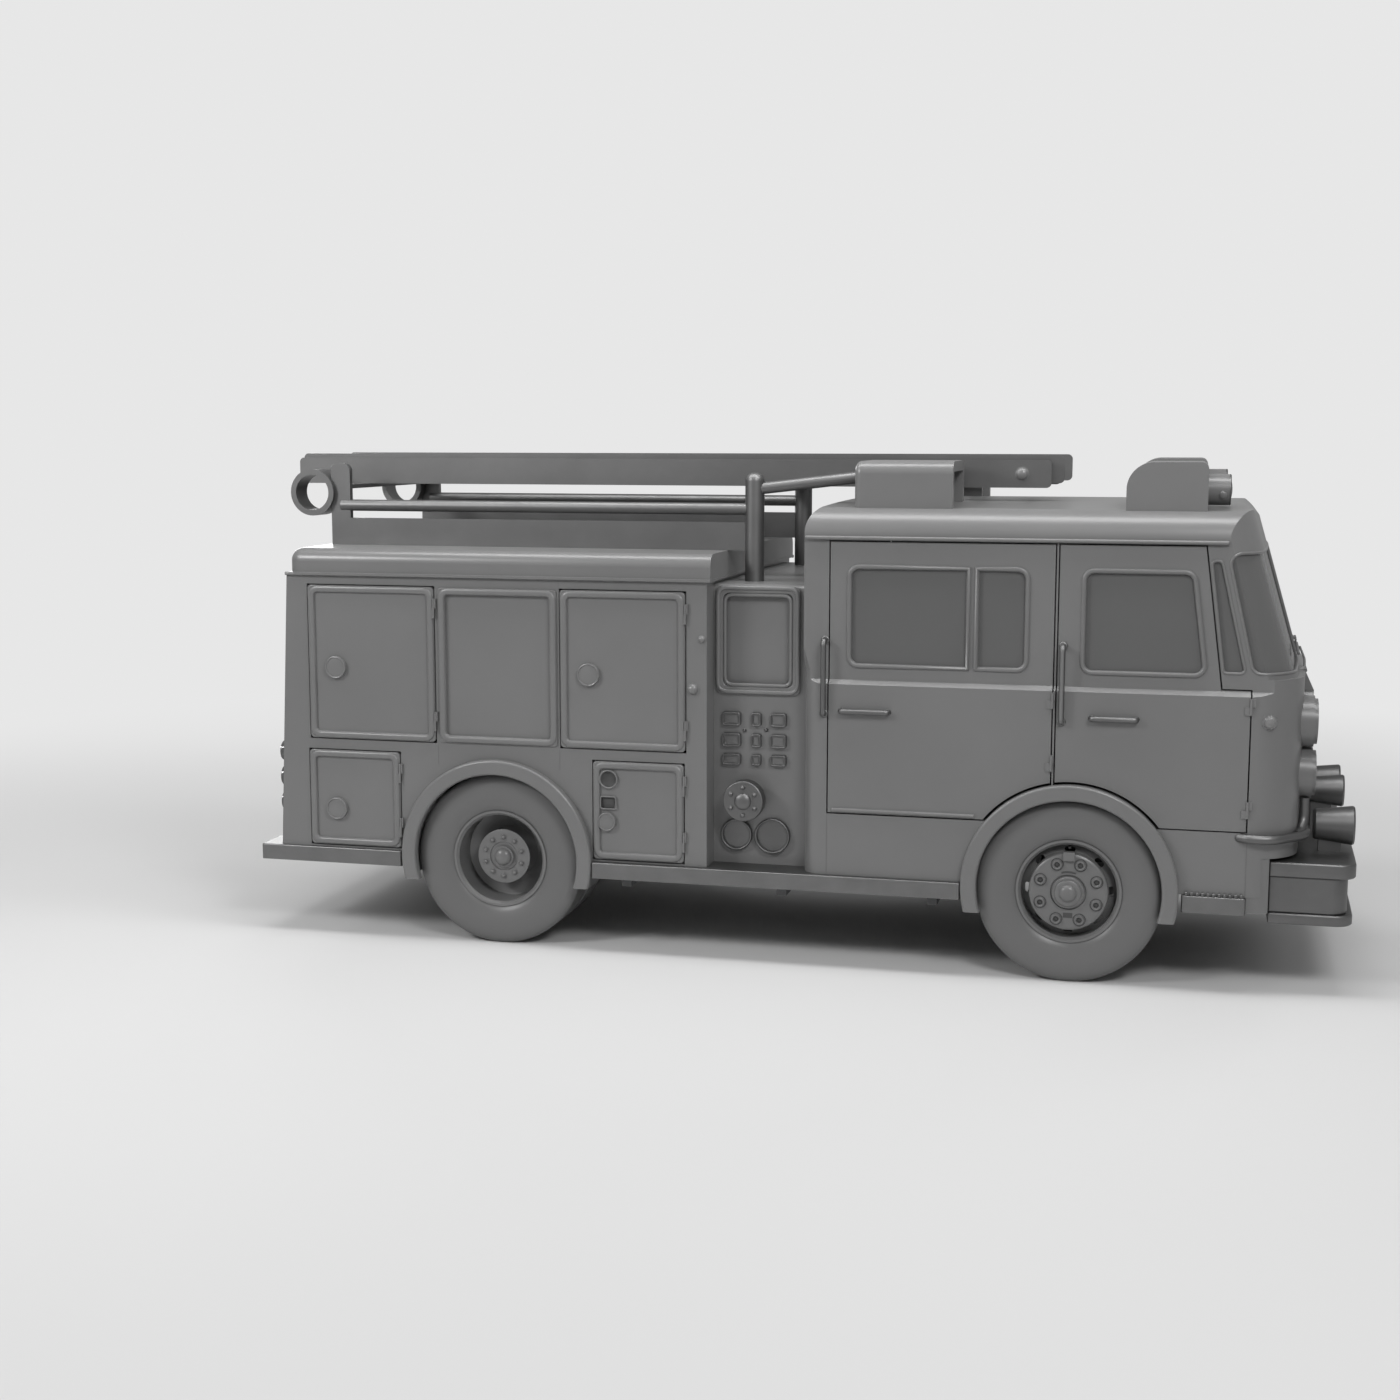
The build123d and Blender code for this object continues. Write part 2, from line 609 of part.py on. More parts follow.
# Pump fittings: square gauges, suction cap and two ringed outlets on each side
gauge_columns = ((-274, 116), (-122, 62), (12, 100))    # middle and width
gauge_rows = ((1440, 84), (1312, 84), (1194, 70))       # middle and height
gauge_out, gauge_rim = 22, 14
suction = (-172, 965, 122, 150)
outlets = ((-240, 736, 96), (-20, 736, 108))
outlet_out, outlet_rim = 26, 15
with BuildPart() as pump_fittings:
    for side in (-1, 1):
        for x, width in gauge_columns:
            for z, height in gauge_rows:
                for rim, depth, mode in ((0, gauge_out, Mode.ADD), (gauge_rim, 6, Mode.SUBTRACT)):
                    start = gauge_out - depth
                    with BuildSketch(side_plane(side, pump_y + seat_gap + start), mode=Mode.PRIVATE) as gauge:
                        with Locations((x, z)):
                            RectangleRounded(width - 2 * rim, height - 2 * rim, 16)
                    extrude(gauge.sketch, amount=-side * depth, mode=mode)
        for x, z, radius in outlets:
            for rim, depth, mode in ((0, outlet_out, Mode.ADD), (outlet_rim, 16, Mode.SUBTRACT)):
                start = outlet_out - depth
                with BuildSketch(side_plane(side, pump_y + seat_gap + start), mode=Mode.PRIVATE) as ring:
                    with Locations((x, z)):
                        Circle(radius - rim)
                extrude(ring.sketch, amount=-side * depth, mode=mode)
        x, z, radius, reach = suction
        for start, length, r in ((0, reach * 0.9, radius * 0.8), (reach * 0.45, reach * 0.55, radius)):
            with BuildSketch(side_plane(side, pump_y + seat_gap + start), mode=Mode.PRIVATE) as round_part:
                with Locations((x, z)):
                    Circle(r)
            extrude(round_part.sketch, amount=-side * length)
    caps = pump_fittings.faces().filter_by(Axis.Y).filter_by(
        lambda f: abs(f.center().Y) > pump_y + reach - 1)
    fillet(caps.edges(), radius=8)
keep(pump_fittings, "pump_fittings")

# Cab shell with its openings and drip rail
with BuildPart() as cab_shell:
    add(cab_outer)
    add(cab_inner, mode=Mode.SUBTRACT)
    # open underside
    box((cab_rear_x + cab_wall, -side_y + cab_wall, 300),
        (cab_nose_x - cab_wall, side_y - cab_wall, cab_foot + cab_wall + 1), mode=Mode.SUBTRACT)
    box((cab_nose_x - cab_wall - 1, -820, cab_nose_foot - 50),
        (cab_front_x - nose_bow - 60, 820, cab_nose_foot + cab_wall + 1), mode=Mode.SUBTRACT)
    box((cab_rear_x - 1, -rail_y - 25, cab_foot - 10), (cab_rear_x + cab_wall + 1, rail_y + 25, cab_floor_z),
        mode=Mode.SUBTRACT)
    box((cab_nose_x - cab_wall - 1, -820, cab_foot - 10), (cab_nose_x + 1, 820, cab_floor_z), mode=Mode.SUBTRACT)
    extrude(polygon(screen_outline, Plane.XZ, 60), amount=side_y + 50, both=True, mode=Mode.SUBTRACT)
    extrude(polygon(quarter_outline, Plane.XZ, quarter_round), amount=side_y + 50, both=True, mode=Mode.SUBTRACT)
    for outline in (crew_outline, front_outline):
        cut = polygon(outline, Plane.XZ)
        with BuildSketch(Plane.XZ, mode=Mode.PRIVATE) as opening:
            add(cut)
            offset(amount=door_gap, kind=Kind.INTERSECTION)
        for side in (-1, 1):
            extrude(opening.sketch.moved(Location((0, side * (side_y + 60), 0))),
                    amount=side * 240, mode=Mode.SUBTRACT)
    with BuildSketch(Plane.XZ, mode=Mode.PRIVATE) as wheel_cut:
        with Locations((front_axle_x, arch_z)):
            Circle(arch_lip_outer_r - 2 + seat_gap)
    extrude(wheel_cut.sketch, amount=half_width, both=True, mode=Mode.SUBTRACT)
    for side in (-1, 1):
        edge = sorted((side * (upper_y - 20), side * (upper_y + 20)))
        box((cab_rear_x + 80, edge[0], 2530), (2568, edge[1], 2545))
        # pillar between the doors: the strip outside is tied to an inner post
        web = sorted((side * 1100, side * (side_y - cab_wall + 8)))
        post = sorted((side * 1076, side * 1118))
        foot = wheel_box_z + floor_thick + seat_gap
        box((door_split - pillar_face / 2, web[0], foot), (door_split + pillar_face / 2, web[1], door_top + 40))
        box((door_split - 38, post[0], foot), (door_split + 38, post[1], door_top + 40))
        for line, heights, leaf in cab_hinges.values():
            hinge_barrels(side, line, side_y, [z + hinge_length + seat_gap for z in heights],
                          (hinge_r, hinge_length), leaf)
keep(cab_shell, "cab_shell")

# Cab floor: low floors fore and aft, wheel boxes between them and the engine cover
floor_y = side_y - cab_wall - 6
box_rear_x, box_front_x = front_axle_x - arch_lip_outer_r - 30, front_axle_x + arch_lip_outer_r + 30
cover_y, cover_top = 450, 1480
floor_front_x = 2855
cover_wall = 28
plate_y = floor_y - 60
floor_rear_x = cab_rear_x + cab_wall + 1
cover_x = (engine_rear_x - 90, engine_front_x + 120)
with BuildPart() as cab_floor:
    t, g = floor_thick, seat_gap
    low = cab_floor_z - t
    box((floor_rear_x, -plate_y, low), (cover_x[0] - g, plate_y, cab_floor_z))
    box((cover_x[1] + g, -cover_y, wheel_box_z), (box_front_x - g, cover_y, wheel_box_z + t))
    box((box_front_x, -plate_y, low), (box_front_x + t, plate_y, wheel_box_z + t))
    box((box_front_x + t + g, -plate_y, low), (floor_front_x, plate_y, cab_floor_z))
    for side in (-1, 1):
        near, far = sorted((side * (cover_y + g), side * plate_y))
        box((cover_x[0], near, low), (box_rear_x - t - g, far, cab_floor_z))
        box((box_rear_x - t, near, low), (box_rear_x, far, wheel_box_z + t))
        box((box_rear_x + g, near, wheel_box_z), (box_front_x - g, far, wheel_box_z + t))
        # walls of the engine cover
        near, far = sorted((side * (cover_y - cover_wall), side * cover_y))
        box((cover_x[0], near, low), (cover_x[1], far, cover_top - cover_wall - g))
    for x0, x1 in ((cover_x[0], cover_x[0] + cover_wall), (cover_x[1] - cover_wall, cover_x[1])):
        box((x0, -cover_y + cover_wall + g, low), (x1, cover_y - cover_wall - g, cover_top - cover_wall - g))
    box((cover_x[0], -cover_y, cover_top - cover_wall), (cover_x[1], cover_y, cover_top))
    fillet(cab_floor.edges().filter_by(Axis.X).group_by(Axis.Z)[-1], radius=20)
keep(cab_floor, "cab_floor")

# Seats: soft pads for the driver, the officer and the crew bench
with BuildPart() as seats:
    for side in (-1, 1):
        for x0, x1, z0, z1 in ((1880, 2340, 1330, 1450), (1760, 1879.7, 1330, 2020)):
            low = sorted((side * 490, side * 980))
            box((x0, low[0], z0), (x1, low[1], z1))
    box((cab_rear_x + 60 + 120.3, -980, 1330), (cab_rear_x + 620, 980, 1450))
    box((cab_rear_x + 60, -980, 1330), (cab_rear_x + 180, 980, 2000))
    fillet(seats.edges(), radius=28)
keep(seats, "seats")

# Seat bases standing on the floor and wheel boxes
with BuildPart() as seat_bases:
    for side in (-1, 1):
        low = sorted((side * 520, side * 940))
        box((1800, low[0], wheel_box_z + floor_thick + seat_gap), (2300, low[1], 1330 - seat_gap))
    box((cab_rear_x + 80, -940, cab_floor_z + seat_gap), (cab_rear_x + 560, 940, 1330 - seat_gap))
keep(seat_bases, "seat_bases")

# Dashboard with the steering column and wheel
wheel_centre = (2400, 640, 1700)
with BuildPart() as dashboard:
    dash = [(2640, 1420), (2880, 1300), (3100, 1300), (3100, 1700), (2660, 1720)]
    extrude(polygon(dash, Plane.XZ, 20), amount=1100, both=True)
    add(cab_form(cab_wall + seat_gap), mode=Mode.INTERSECT)
    rod((2700, 640, 1560), wheel_centre, 24)
    column = Vector(2700, 640, 1560) - Vector(*wheel_centre)
    with BuildSketch(Plane(origin=wheel_centre, x_dir=(0, 1, 0), z_dir=column), mode=Mode.PRIVATE) as rim:
        Circle(225)
        Circle(193, mode=Mode.SUBTRACT)
        Rectangle(400, 36)
    extrude(rim.sketch, amount=28)
keep(dashboard, "dashboard")

# Glass: windscreen, quarter windows
with BuildPart() as windscreen:
    add(glass_outer)
    add(glass_inner, mode=Mode.SUBTRACT)
    with BuildSketch(Plane.XZ, mode=Mode.PRIVATE) as pane:
        add(polygon(screen_outline, Plane.XZ, 60))
        offset(amount=-glass_play)
    extrude(pane.sketch, amount=side_y + 50, both=True, mode=Mode.INTERSECT)
keep(windscreen, "windscreen")

with BuildPart() as quarter_glass:
    add(glass_outer)
    add(glass_inner, mode=Mode.SUBTRACT)
    with BuildSketch(Plane.XZ, mode=Mode.PRIVATE) as pane:
        add(polygon(quarter_outline, Plane.XZ, quarter_round))
        offset(amount=-glass_play)
    extrude(pane.sketch, amount=side_y + 50, both=True, mode=Mode.INTERSECT)
keep(quarter_glass, "quarter_glass")


def front_face(x):
    return Plane(origin=(x, 0, 0), x_dir=(0, 1, 0), z_dir=(1, 0, 0))


# Grille with slats in the middle of the nose
grille_y, grille_low, grille_high, grille_x = 590, 985, 1660, 3078
with BuildPart() as grille:
    with BuildSketch(front_face(cab_front_x - 80)) as frame:
        with Locations((0, (grille_low + grille_high) / 2)):
            RectangleRounded(2 * grille_y, grille_high - grille_low, 60)
            RectangleRounded(2 * grille_y - 90, grille_high - grille_low - 90, 30, mode=Mode.SUBTRACT)
    extrude(amount=grille_x - cab_front_x + 80)
    slat_pitch = 73
    for slat in range(8):
        z = grille_low + 52 + slat * slat_pitch
        louvre = [(grille_x - 46, z + 34), (grille_x - 38, z + 42), (grille_x - 6, z + 12), (grille_x - 14, z + 4)]
        extrude(polygon(louvre, Plane.XZ), amount=grille_y - 40, both=True)
    box((grille_x - 60, -grille_y + 40, grille_low + 40), (grille_x - 50, grille_y - 40, grille_high - 40))
    add(cab_seat, mode=Mode.SUBTRACT)
keep(grille, "grille")

# Lamps: two round housings one over the other at each front corner
lamp_y, lamp_r, lamp_x = 850, 145, 3085
lamp_heights = (1521, 1226)
with BuildPart() as headlamps:
    for side in (-1, 1):
        for z in lamp_heights:
            rod((cab_front_x - 160, side * lamp_y, z), (lamp_x - 18, side * lamp_y, z), lamp_r)
            rod((lamp_x - 18, side * lamp_y, z), (lamp_x, side * lamp_y, z), lamp_r - 16)
            rod((lamp_x - 12, side * lamp_y, z), (lamp_x + 1, side * lamp_y, z), lamp_r - 34,
                mode=Mode.SUBTRACT)
    add(cab_seat, mode=Mode.SUBTRACT)
keep(headlamps, "headlamps")

# Tail lamps on the leaning rear face
with BuildPart() as tail_lamps:
    for side in (-1, 1):
        for z in (820, 980, 1140):
            rod((body_rear_x - 22, side * 1085, z), (body_rear_x + 60, side * 1085, z), 62)
    flank = [(body_rear_x - seat_gap, body_bottom), (body_front_x, body_bottom), (body_front_x, body_top),
             (body_rear_x - seat_gap + body_lean, body_top)]
    extrude(polygon(flank, Plane.XZ), amount=body_y, both=True, mode=Mode.SUBTRACT)
keep(tail_lamps, "tail_lamps")

# Bumper: bowed deck, sunk middle and lower shelf
bumper_bow = 40
# foot, head and how far each tier stands back from the edge
bumper_tiers = ((bumper_foot, bumper_shelf, 10), (bumper_shelf - 1, bumper_lip + 1, bumper_recess),
                (bumper_lip, bumper_top, 0))
with BuildPart() as front_bumper:
    for low, high, inset in bumper_tiers:
        y, x = bumper_y - inset, front_x - inset
        with BuildSketch(Plane.XY.offset(low), mode=Mode.PRIVATE) as plan:
            with BuildLine():
                bow = ThreePointArc((x - bumper_bow, -y), (x, 0), (x - bumper_bow, y))
                Polyline(bow @ 1, (bumper_rear_x, y), (bumper_rear_x, -y), bow @ 0)
            make_face()
            fillet(plan.vertices().group_by(Axis.X)[1:], radius=60)
        extrude(plan.sketch, amount=high - low)
    deck = front_bumper.faces().sort_by(Axis.Z)[-1]
    fillet(deck.edges().sort_by(Axis.X)[1:], radius=12)
    box((bumper_rear_x - 1, -bumper_y + 60, bumper_foot + 60), (front_x - bumper_recess - 60, bumper_y - 60,
        bumper_lip), mode=Mode.SUBTRACT)
keep(front_bumper, "front_bumper")

# Horns and siren on the bumper deck: place across, length, mouth radius, mouth height
horn_rows = ((-750, 224, 112, 912), (0, 220, 97, 980), (500, 224, 97, 960))
with BuildPart() as bumper_horns:
    for y, length, mouth_r, z in horn_rows:
        mouth_x = front_x - 12 if y else front_x - 22
        back_x = mouth_x - length
        profile = [(back_x, 0), (back_x, mouth_r * 0.72), (back_x + 10, mouth_r * 0.78), (mouth_x - 10, mouth_r),
                   (mouth_x, mouth_r - 6), (mouth_x, mouth_r - 14), (mouth_x - 18, mouth_r - 22),
                   (mouth_x - 62, mouth_r * 0.34), (mouth_x - 62, 0)]
        turn_plane = Plane(origin=(0, y, z), x_dir=(1, 0, 0), z_dir=(0, -1, 0))
        revolve(polygon(profile, turn_plane), axis=Axis((0, y, z), (1, 0, 0)))
        foot = z - mouth_r * 0.5
        box((mouth_x - length + 30, y - 30, bumper_top + seat_gap), (mouth_x - 70, y + 30, foot))
keep(bumper_horns, "bumper_horns")

# Guard tubes round the front corners of the cab
guard_r, guard_z = 20, 905
with BuildPart() as guard_tubes:
    for side in (-1, 1):
        y_side, x_front = half_width - guard_r, cab_front_x + 8
        corner = 150
        points = [(2668, side * (side_y - 20), guard_z), (2730, side * y_side, guard_z),
                  (x_front - 190, side * y_side, guard_z), (x_front, side * (side_y - 170), guard_z),
                  (x_front, side * 700, guard_z)]
        bent_tube(points, [40, corner, corner * 0.6], guard_r)
    add(cab_seat, mode=Mode.SUBTRACT)
keep(guard_tubes, "guard_tubes")

# Towing eyes: cheek plates with a cross bore in front of the rails, under the bumper
tow_eye_x, tow_eye_z, tow_eye_r = 2905, 350, 24
with BuildPart() as tow_eyes:
    for side in (-1, 1):
        y = side * (rail_y - 40)
        plate = [(tow_eye_x - 60, bumper_foot - seat_gap), (tow_eye_x - 60, 330), (tow_eye_x - 30, 290),
                 (tow_eye_x + 30, 290), (tow_eye_x + 60, 330), (tow_eye_x + 60, bumper_foot - seat_gap)]
        extrude(polygon(plate, Plane.XZ.offset(-y + 15)), amount=-30)
        rod((tow_eye_x, y - 20, tow_eye_z), (tow_eye_x, y + 20, tow_eye_z), tow_eye_r, mode=Mode.SUBTRACT)
keep(tow_eyes, "tow_eyes")

# Rack over the hose bed: boards, posts, tubes, cross bars and the round drums at the tail
bar_thick = 25
rail_tube_r, rail_end_z = 36, 2880
front_post_r = 58
case_x, case_y, case_top = (455, 1028), (505, 1045), 2975
drum_x, drum_z, drum_r, drum_bore = -3078, 2760, 147, 112
with BuildPart() as ladder_rack:
    for side in (-1, 1):
        low = sorted((side * (rack_y - 20), side * (rack_y + 20)))
        box((rear_post_x - 65, low[0], cap_top + seat_gap), (front_post_x + 10, low[1], rack_board_top))
        box((rear_post_x - 65, low[0], cap_top + seat_gap), (rear_post_x + 65, low[1], rear_post_top))
        rod((front_post_x, side * rack_y, pump_top + seat_gap), (front_post_x, side * rack_y, front_post_top),
            front_post_r)
        rod((rear_post_x, side * rack_y, 2680), (front_post_x, side * rack_y, 2680), rail_tube_r)
        rod((front_post_x, side * rack_y, 2800), (case_x[0] + 25, side * rack_y, rail_end_z), rail_tube_r)
        drum = sorted((side * 640, side * 800))
        rod((drum_x, drum[0], drum_z), (drum_x, drum[1], drum_z), drum_r)
        rod((drum_x, drum[0] - 1, drum_z), (drum_x, drum[1] + 1, drum_z), drum_bore, mode=Mode.SUBTRACT)
    post_tops = ladder_rack.edges().filter_by(GeomType.CIRCLE).filter_by(
        lambda e: abs(e.center().Z - front_post_top) < 1)
    fillet(post_tops, radius=front_post_r - 8)
    for x, half in ((rear_post_x, 60), (front_post_x, 40)):
        box((x - half, -rack_y, ladder_z - bar_thick - seat_gap), (x + half, rack_y, ladder_z - seat_gap))
    fillet(ladder_rack.edges().filter_by(Axis.Y).group_by(Axis.Z)[-1], radius=50)
keep(ladder_rack, "ladder_rack")


def ladder_section(front, z, rail_out_y, rung_z, first_rung):
    """One flight of ladder: two plate rails and the rungs between them."""
    with BuildPart(mode=Mode.PRIVATE) as flight:
        for side in (-1, 1):
            low = sorted((side * rail_out_y, side * (rail_out_y - ladder_rail_wall)))
            box((rear_x, low[0], z), (front, low[1], z + ladder_rail))
        fillet(flight.edges().filter_by(Axis.Y), radius=30)
        count = int((front - rear_x - 250) / rung_pitch)
        for rung in range(count + 1):
            x = first_rung + rung * rung_pitch
            end = rail_out_y - ladder_rail_wall - seat_gap
            rod((x, -end, rung_z), (x, end, rung_z), rung_r)
    return flight.part


fly_z = ladder_z + 2 * rung_r + 2.4
with BuildPart() as ladder_base:
    add(ladder_section(ladder_front_x, ladder_z, ladder_y, ladder_z + rung_r + 2, rear_x + 140))
keep(ladder_base, "ladder_base")
with BuildPart() as ladder_fly:
    add(ladder_section(fly_front_x, fly_z, fly_y, fly_z + ladder_rail - 50, rear_x + 140))
keep(ladder_fly, "ladder_fly")

# Roof: two round-edged cases, the ladder cradle between them and two lamp housings
with BuildPart() as roof_cases:
    for side in (-1, 1):
        low = sorted((side * case_y[0], side * case_y[1]))
        box((case_x[0], low[0], roof_z - 120), (case_x[1], low[1], case_top))
    fillet(roof_cases.edges().filter_by(Axis.X).group_by(Axis.Z)[-1], radius=70)
    fillet(roof_cases.faces().sort_by(Axis.X)[:2].edges().group_by(Axis.Z)[-1], radius=40)
    for side in (-1, 1):
        # open arch in the front end, and the hole that the rack's rail runs into
        box((case_x[1] - 60, side * 775 - 215, roof_z - 130), (case_x[1] + 1, side * 775 + 215, case_top - 60),
            mode=Mode.SUBTRACT)
        start = Vector(front_post_x, side * rack_y, 2800)
        end = start + (Vector(case_x[0] + 25, side * rack_y, rail_end_z) - start) * 1.02
        rod(tuple(start), tuple(end), rail_tube_r + seat_gap, mode=Mode.SUBTRACT)
    box((700, -case_y[0] - 5, roof_z - 60), (760, case_y[0] + 5, ladder_z - seat_gap))
    add(cab_seat, mode=Mode.SUBTRACT)
keep(roof_cases, "roof_cases")

beacon_x, beacon_top = (2000, 2445), 2975
with BuildPart() as roof_lamps:
    for side in (-1, 1):
        outline = [(beacon_x[0], roof_z - 120), (beacon_x[1], roof_z - 120), (beacon_x[1], beacon_top),
                   (beacon_x[0], beacon_top)]
        with BuildSketch(side_plane(side, 560), mode=Mode.PRIVATE) as case:
            with BuildLine():
                Polyline(*outline, close=True)
            make_face()
            fillet(case.vertices().group_by(Axis.Y)[-1].sort_by(Axis.X)[0], radius=150)
            fillet(case.vertices().group_by(Axis.Y)[-1].sort_by(Axis.X)[-1], radius=40)
        extrude(case.sketch, amount=-side * 490)
        rod((beacon_x[1] - 5, side * 805, 2818), (beacon_x[1] + 118, side * 805, 2818), 87)
    add(cab_seat, mode=Mode.SUBTRACT)
keep(roof_lamps, "roof_lamps")

# Steering knuckles with their kingpins, spindles and arms
arm_low, arm_high = 432, 462
for side, name in ((-1, "right"), (1, "left")):
    with BuildPart() as knuckle:
        pin = side * kingpin_y
        for low, high in ((arm_low, eye_low - 5), (eye_high + 5, 640)):
            rod((front_axle_x, pin, low), (front_axle_x, pin, high), 48)
        rod((front_axle_x, pin, arm_low), (front_axle_x, pin, 640), kingpin_r)
        plate = sorted((side * (kingpin_y + 56), side * (kingpin_y + 82)))
        box((front_axle_x - 48, plate[0], arm_low), (front_axle_x + 48, plate[1], 640))
        ear = sorted((pin, side * (kingpin_y + 60)))
        for low, high in ((arm_low, eye_low - 5), (eye_high + 5, 640)):
            box((front_axle_x - 44, ear[0], low), (front_axle_x + 44, ear[1], high))
        rod((front_axle_x, side * (kingpin_y + 56), axle_z),
            (front_axle_x, side * (front_track_y + 100), axle_z), spindle_r)
        box((front_axle_x - steer_arm, pin - 16, arm_low), (front_axle_x, pin + 16, arm_high))
        rod((front_axle_x - steer_arm, pin, arm_low), (front_axle_x - steer_arm, pin, arm_high), 30)
        rod((front_axle_x - steer_arm, pin, arm_low - 1), (front_axle_x - steer_arm, pin, arm_high + 1),
            12 + pin_gap, mode=Mode.SUBTRACT)
    keep(knuckle, f"knuckle_{name}")

# Tie rod above the steering arms, with a pin down into each
with BuildPart() as tie_rod:
    rod_z = arm_high + 6 + steer_rod_r
    x = front_axle_x - steer_arm
    rod((x, -kingpin_y, rod_z), (x, kingpin_y, rod_z), steer_rod_r - 4)
    for side in (-1, 1):
        rod((x, side * kingpin_y, arm_low), (x, side * kingpin_y, rod_z + steer_rod_r), 12)
        rod((x, side * kingpin_y, arm_high + 5), (x, side * kingpin_y, rod_z + steer_rod_r), 17)
keep(tie_rod, "tie_rod")

# Wheels and tyres
half_section, half_tread = tyre_section / 2, tyre_tread / 2
shoulder_r = 34
bead_y = 104


def tyre_ring(axle_x, side, middle_y):
    """Closed tyre with bulging sidewalls and rounded shoulders."""
    with BuildSketch(wheel_plane(axle_x, side), mode=Mode.PRIVATE) as half:
        with BuildLine():
            for face in (-1, 1):
                heel = (middle_y + face * bead_y, rim_r + seat_gap)
                bead = (middle_y + face * bead_y, rim_lip_r + 5)
                Line(heel, bead)
                bulge = (middle_y + face * half_section, 415)
                crown = (middle_y + face * half_tread, tyre_r)
                ThreePointArc(bead, bulge, (middle_y + face * (half_tread + 22), tyre_r - shoulder_r))
                Line((middle_y + face * (half_tread + 22), tyre_r - shoulder_r), crown)
            Line((middle_y - half_tread, tyre_r), (middle_y + half_tread, tyre_r))
            Line((middle_y - bead_y, rim_r + seat_gap), (middle_y + bead_y, rim_r + seat_gap))
        make_face()
    revolve(half.sketch, axis=Axis((axle_x, 0, axle_z), (0, 1, 0)))


def rim_barrel(axle_x, side, middle_y):
    """Rolled rim: a thin barrel with a lip at each edge."""
    m, r, lip = middle_y, rim_r, rim_lip_r
    turned([(m - 112, lip), (m - 112, lip - 14), (m - 96, r - 14), (m + 96, r - 14), (m + 112, lip - 14),
            (m + 112, lip), (m + 107, lip), (m + 106, r), (m - 106, r), (m - 107, lip)], axle_x, side)


hand_holes, nut_count = 8, 8
for side, name in ((-1, "right"), (1, "left")):
    with BuildPart() as front_wheel:
        m = front_track_y
        rim_barrel(front_axle_x, side, m)
        # dished disc from the barrel out to the hub face, then the stepped hub
        turned([(m + 20, rim_r - 12), (m + 62, 228), (m + 84, 205), (m + 84, spindle_r + pin_gap),
                (m + 72, spindle_r + pin_gap), (m + 72, 200), (m + 52, 220), (m + 6, rim_r - 12)],
               front_axle_x, side)
        turned([(m - 60, spindle_r + pin_gap), (m - 60, 190), (m - 40, 200), (m + 40, 200), (m + 40, 110),
                (m + 84, 110), (m + 84, spindle_r + pin_gap)], front_axle_x, side)
        turned([(m + 84, 0), (m + 84, 98), (m + 97, 98), (m + 100, 94), (m + 100, 76), (m + 116, 72), (m + 118, 50),
                (m + 132, 46), (m + 143, 30), (m + 147, 0)], front_axle_x, side)
        turned([(m + 60, 0), (m + 60, spindle_r + pin_gap), (m + 104, spindle_r + pin_gap), (m + 104, 0)],
               front_axle_x, side, mode=Mode.SUBTRACT)
        with BuildSketch(side_plane(side, m + 150), mode=Mode.PRIVATE) as holes:
            with Locations((front_axle_x, axle_z)):
                with PolarLocations(236, hand_holes):
                    SlotOverall(62, 30, rotation=90)
        extrude(holes.sketch, amount=side * 150, mode=Mode.SUBTRACT)
    keep(front_wheel, f"front_wheel_{name}")
    with BuildPart() as front_tyre:
        tyre_ring(front_axle_x, side, front_track_y)
    keep(front_tyre, f"front_tyre_{name}")
    with BuildPart() as rear_wheel:
        m = twin_outer_y
        rim_barrel(rear_axle_x, side, m)
        rim_barrel(rear_axle_x, side, m - twin_pitch)
        mid = m - twin_pitch / 2
        turned([(mid - 12, 150), (mid - 12, 215), (mid + 10, rim_r - 12), (mid + 60, rim_r - 12),
                (mid + 36, 205), (mid + 12, 150)], rear_axle_x, side)
        turned([(mid - 12, 150), (mid - 12, 215), (mid - 60, rim_r - 12), (mid - 40, rim_r - 12),
                (mid + 4, 205), (mid + 12, 150)], rear_axle_x, side)
        turned([(mid - 210, hub_bore_r), (mid - 210, 190), (mid - 60, 196), (mid - 12, 170),
                (mid + 12, 170), (mid + 60, 118), (mid + 130, 112), (mid + 130, hub_bore_r)],
               rear_axle_x, side)
        # hub face deep in the dish, with its dome
        end, face = rear_spindle_y + 4, rear_spindle_y + 22
        turned([(mid + 120, 0), (mid + 120, 112), (face - 26, 146), (face - 6, 150), (face, 144), (face, 50),
                (face + 20, 46), (face + 29, 28), (face + 32, 0)], rear_axle_x, side)
        turned([(mid + 60, 0), (mid + 60, hub_bore_r), (end, hub_bore_r), (end, 0)], rear_axle_x, side,
               mode=Mode.SUBTRACT)
    keep(rear_wheel, f"rear_wheels_{name}")
    with BuildPart() as rear_tyres:
        tyre_ring(rear_axle_x, side, twin_outer_y)
        tyre_ring(rear_axle_x, side, twin_outer_y - twin_pitch)
    keep(rear_tyres, f"rear_tyres_{name}")

# Grab rails beside the crew doors
grip_y, grip_bend = side_y + 36, 20
handle_r, grab_r = 12, 13
grab_low, grab_high = 1516, 1944
cab_grab_x, door_grab_x = 318, 1682


def grip_points(side, start_y, start, end_y, end):
    """Corners of a grip that stands out of the flank between two feet, each foot given as x and z."""
    return [(start[0], side * start_y, start[1]), (start[0], side * grip_y, start[1]),
            (end[0], side * grip_y, end[1]), (end[0], side * end_y, end[1])]


with BuildPart() as grab_rails:
    for side in (-1, 1):
        bent_tube(grip_points(side, side_y - 20, (cab_grab_x, grab_low), upper_y - 20, (cab_grab_x, grab_high)),
                  grip_bend, grab_r)
    add(cab_seat, mode=Mode.SUBTRACT)
keep(grab_rails, "grab_rails")

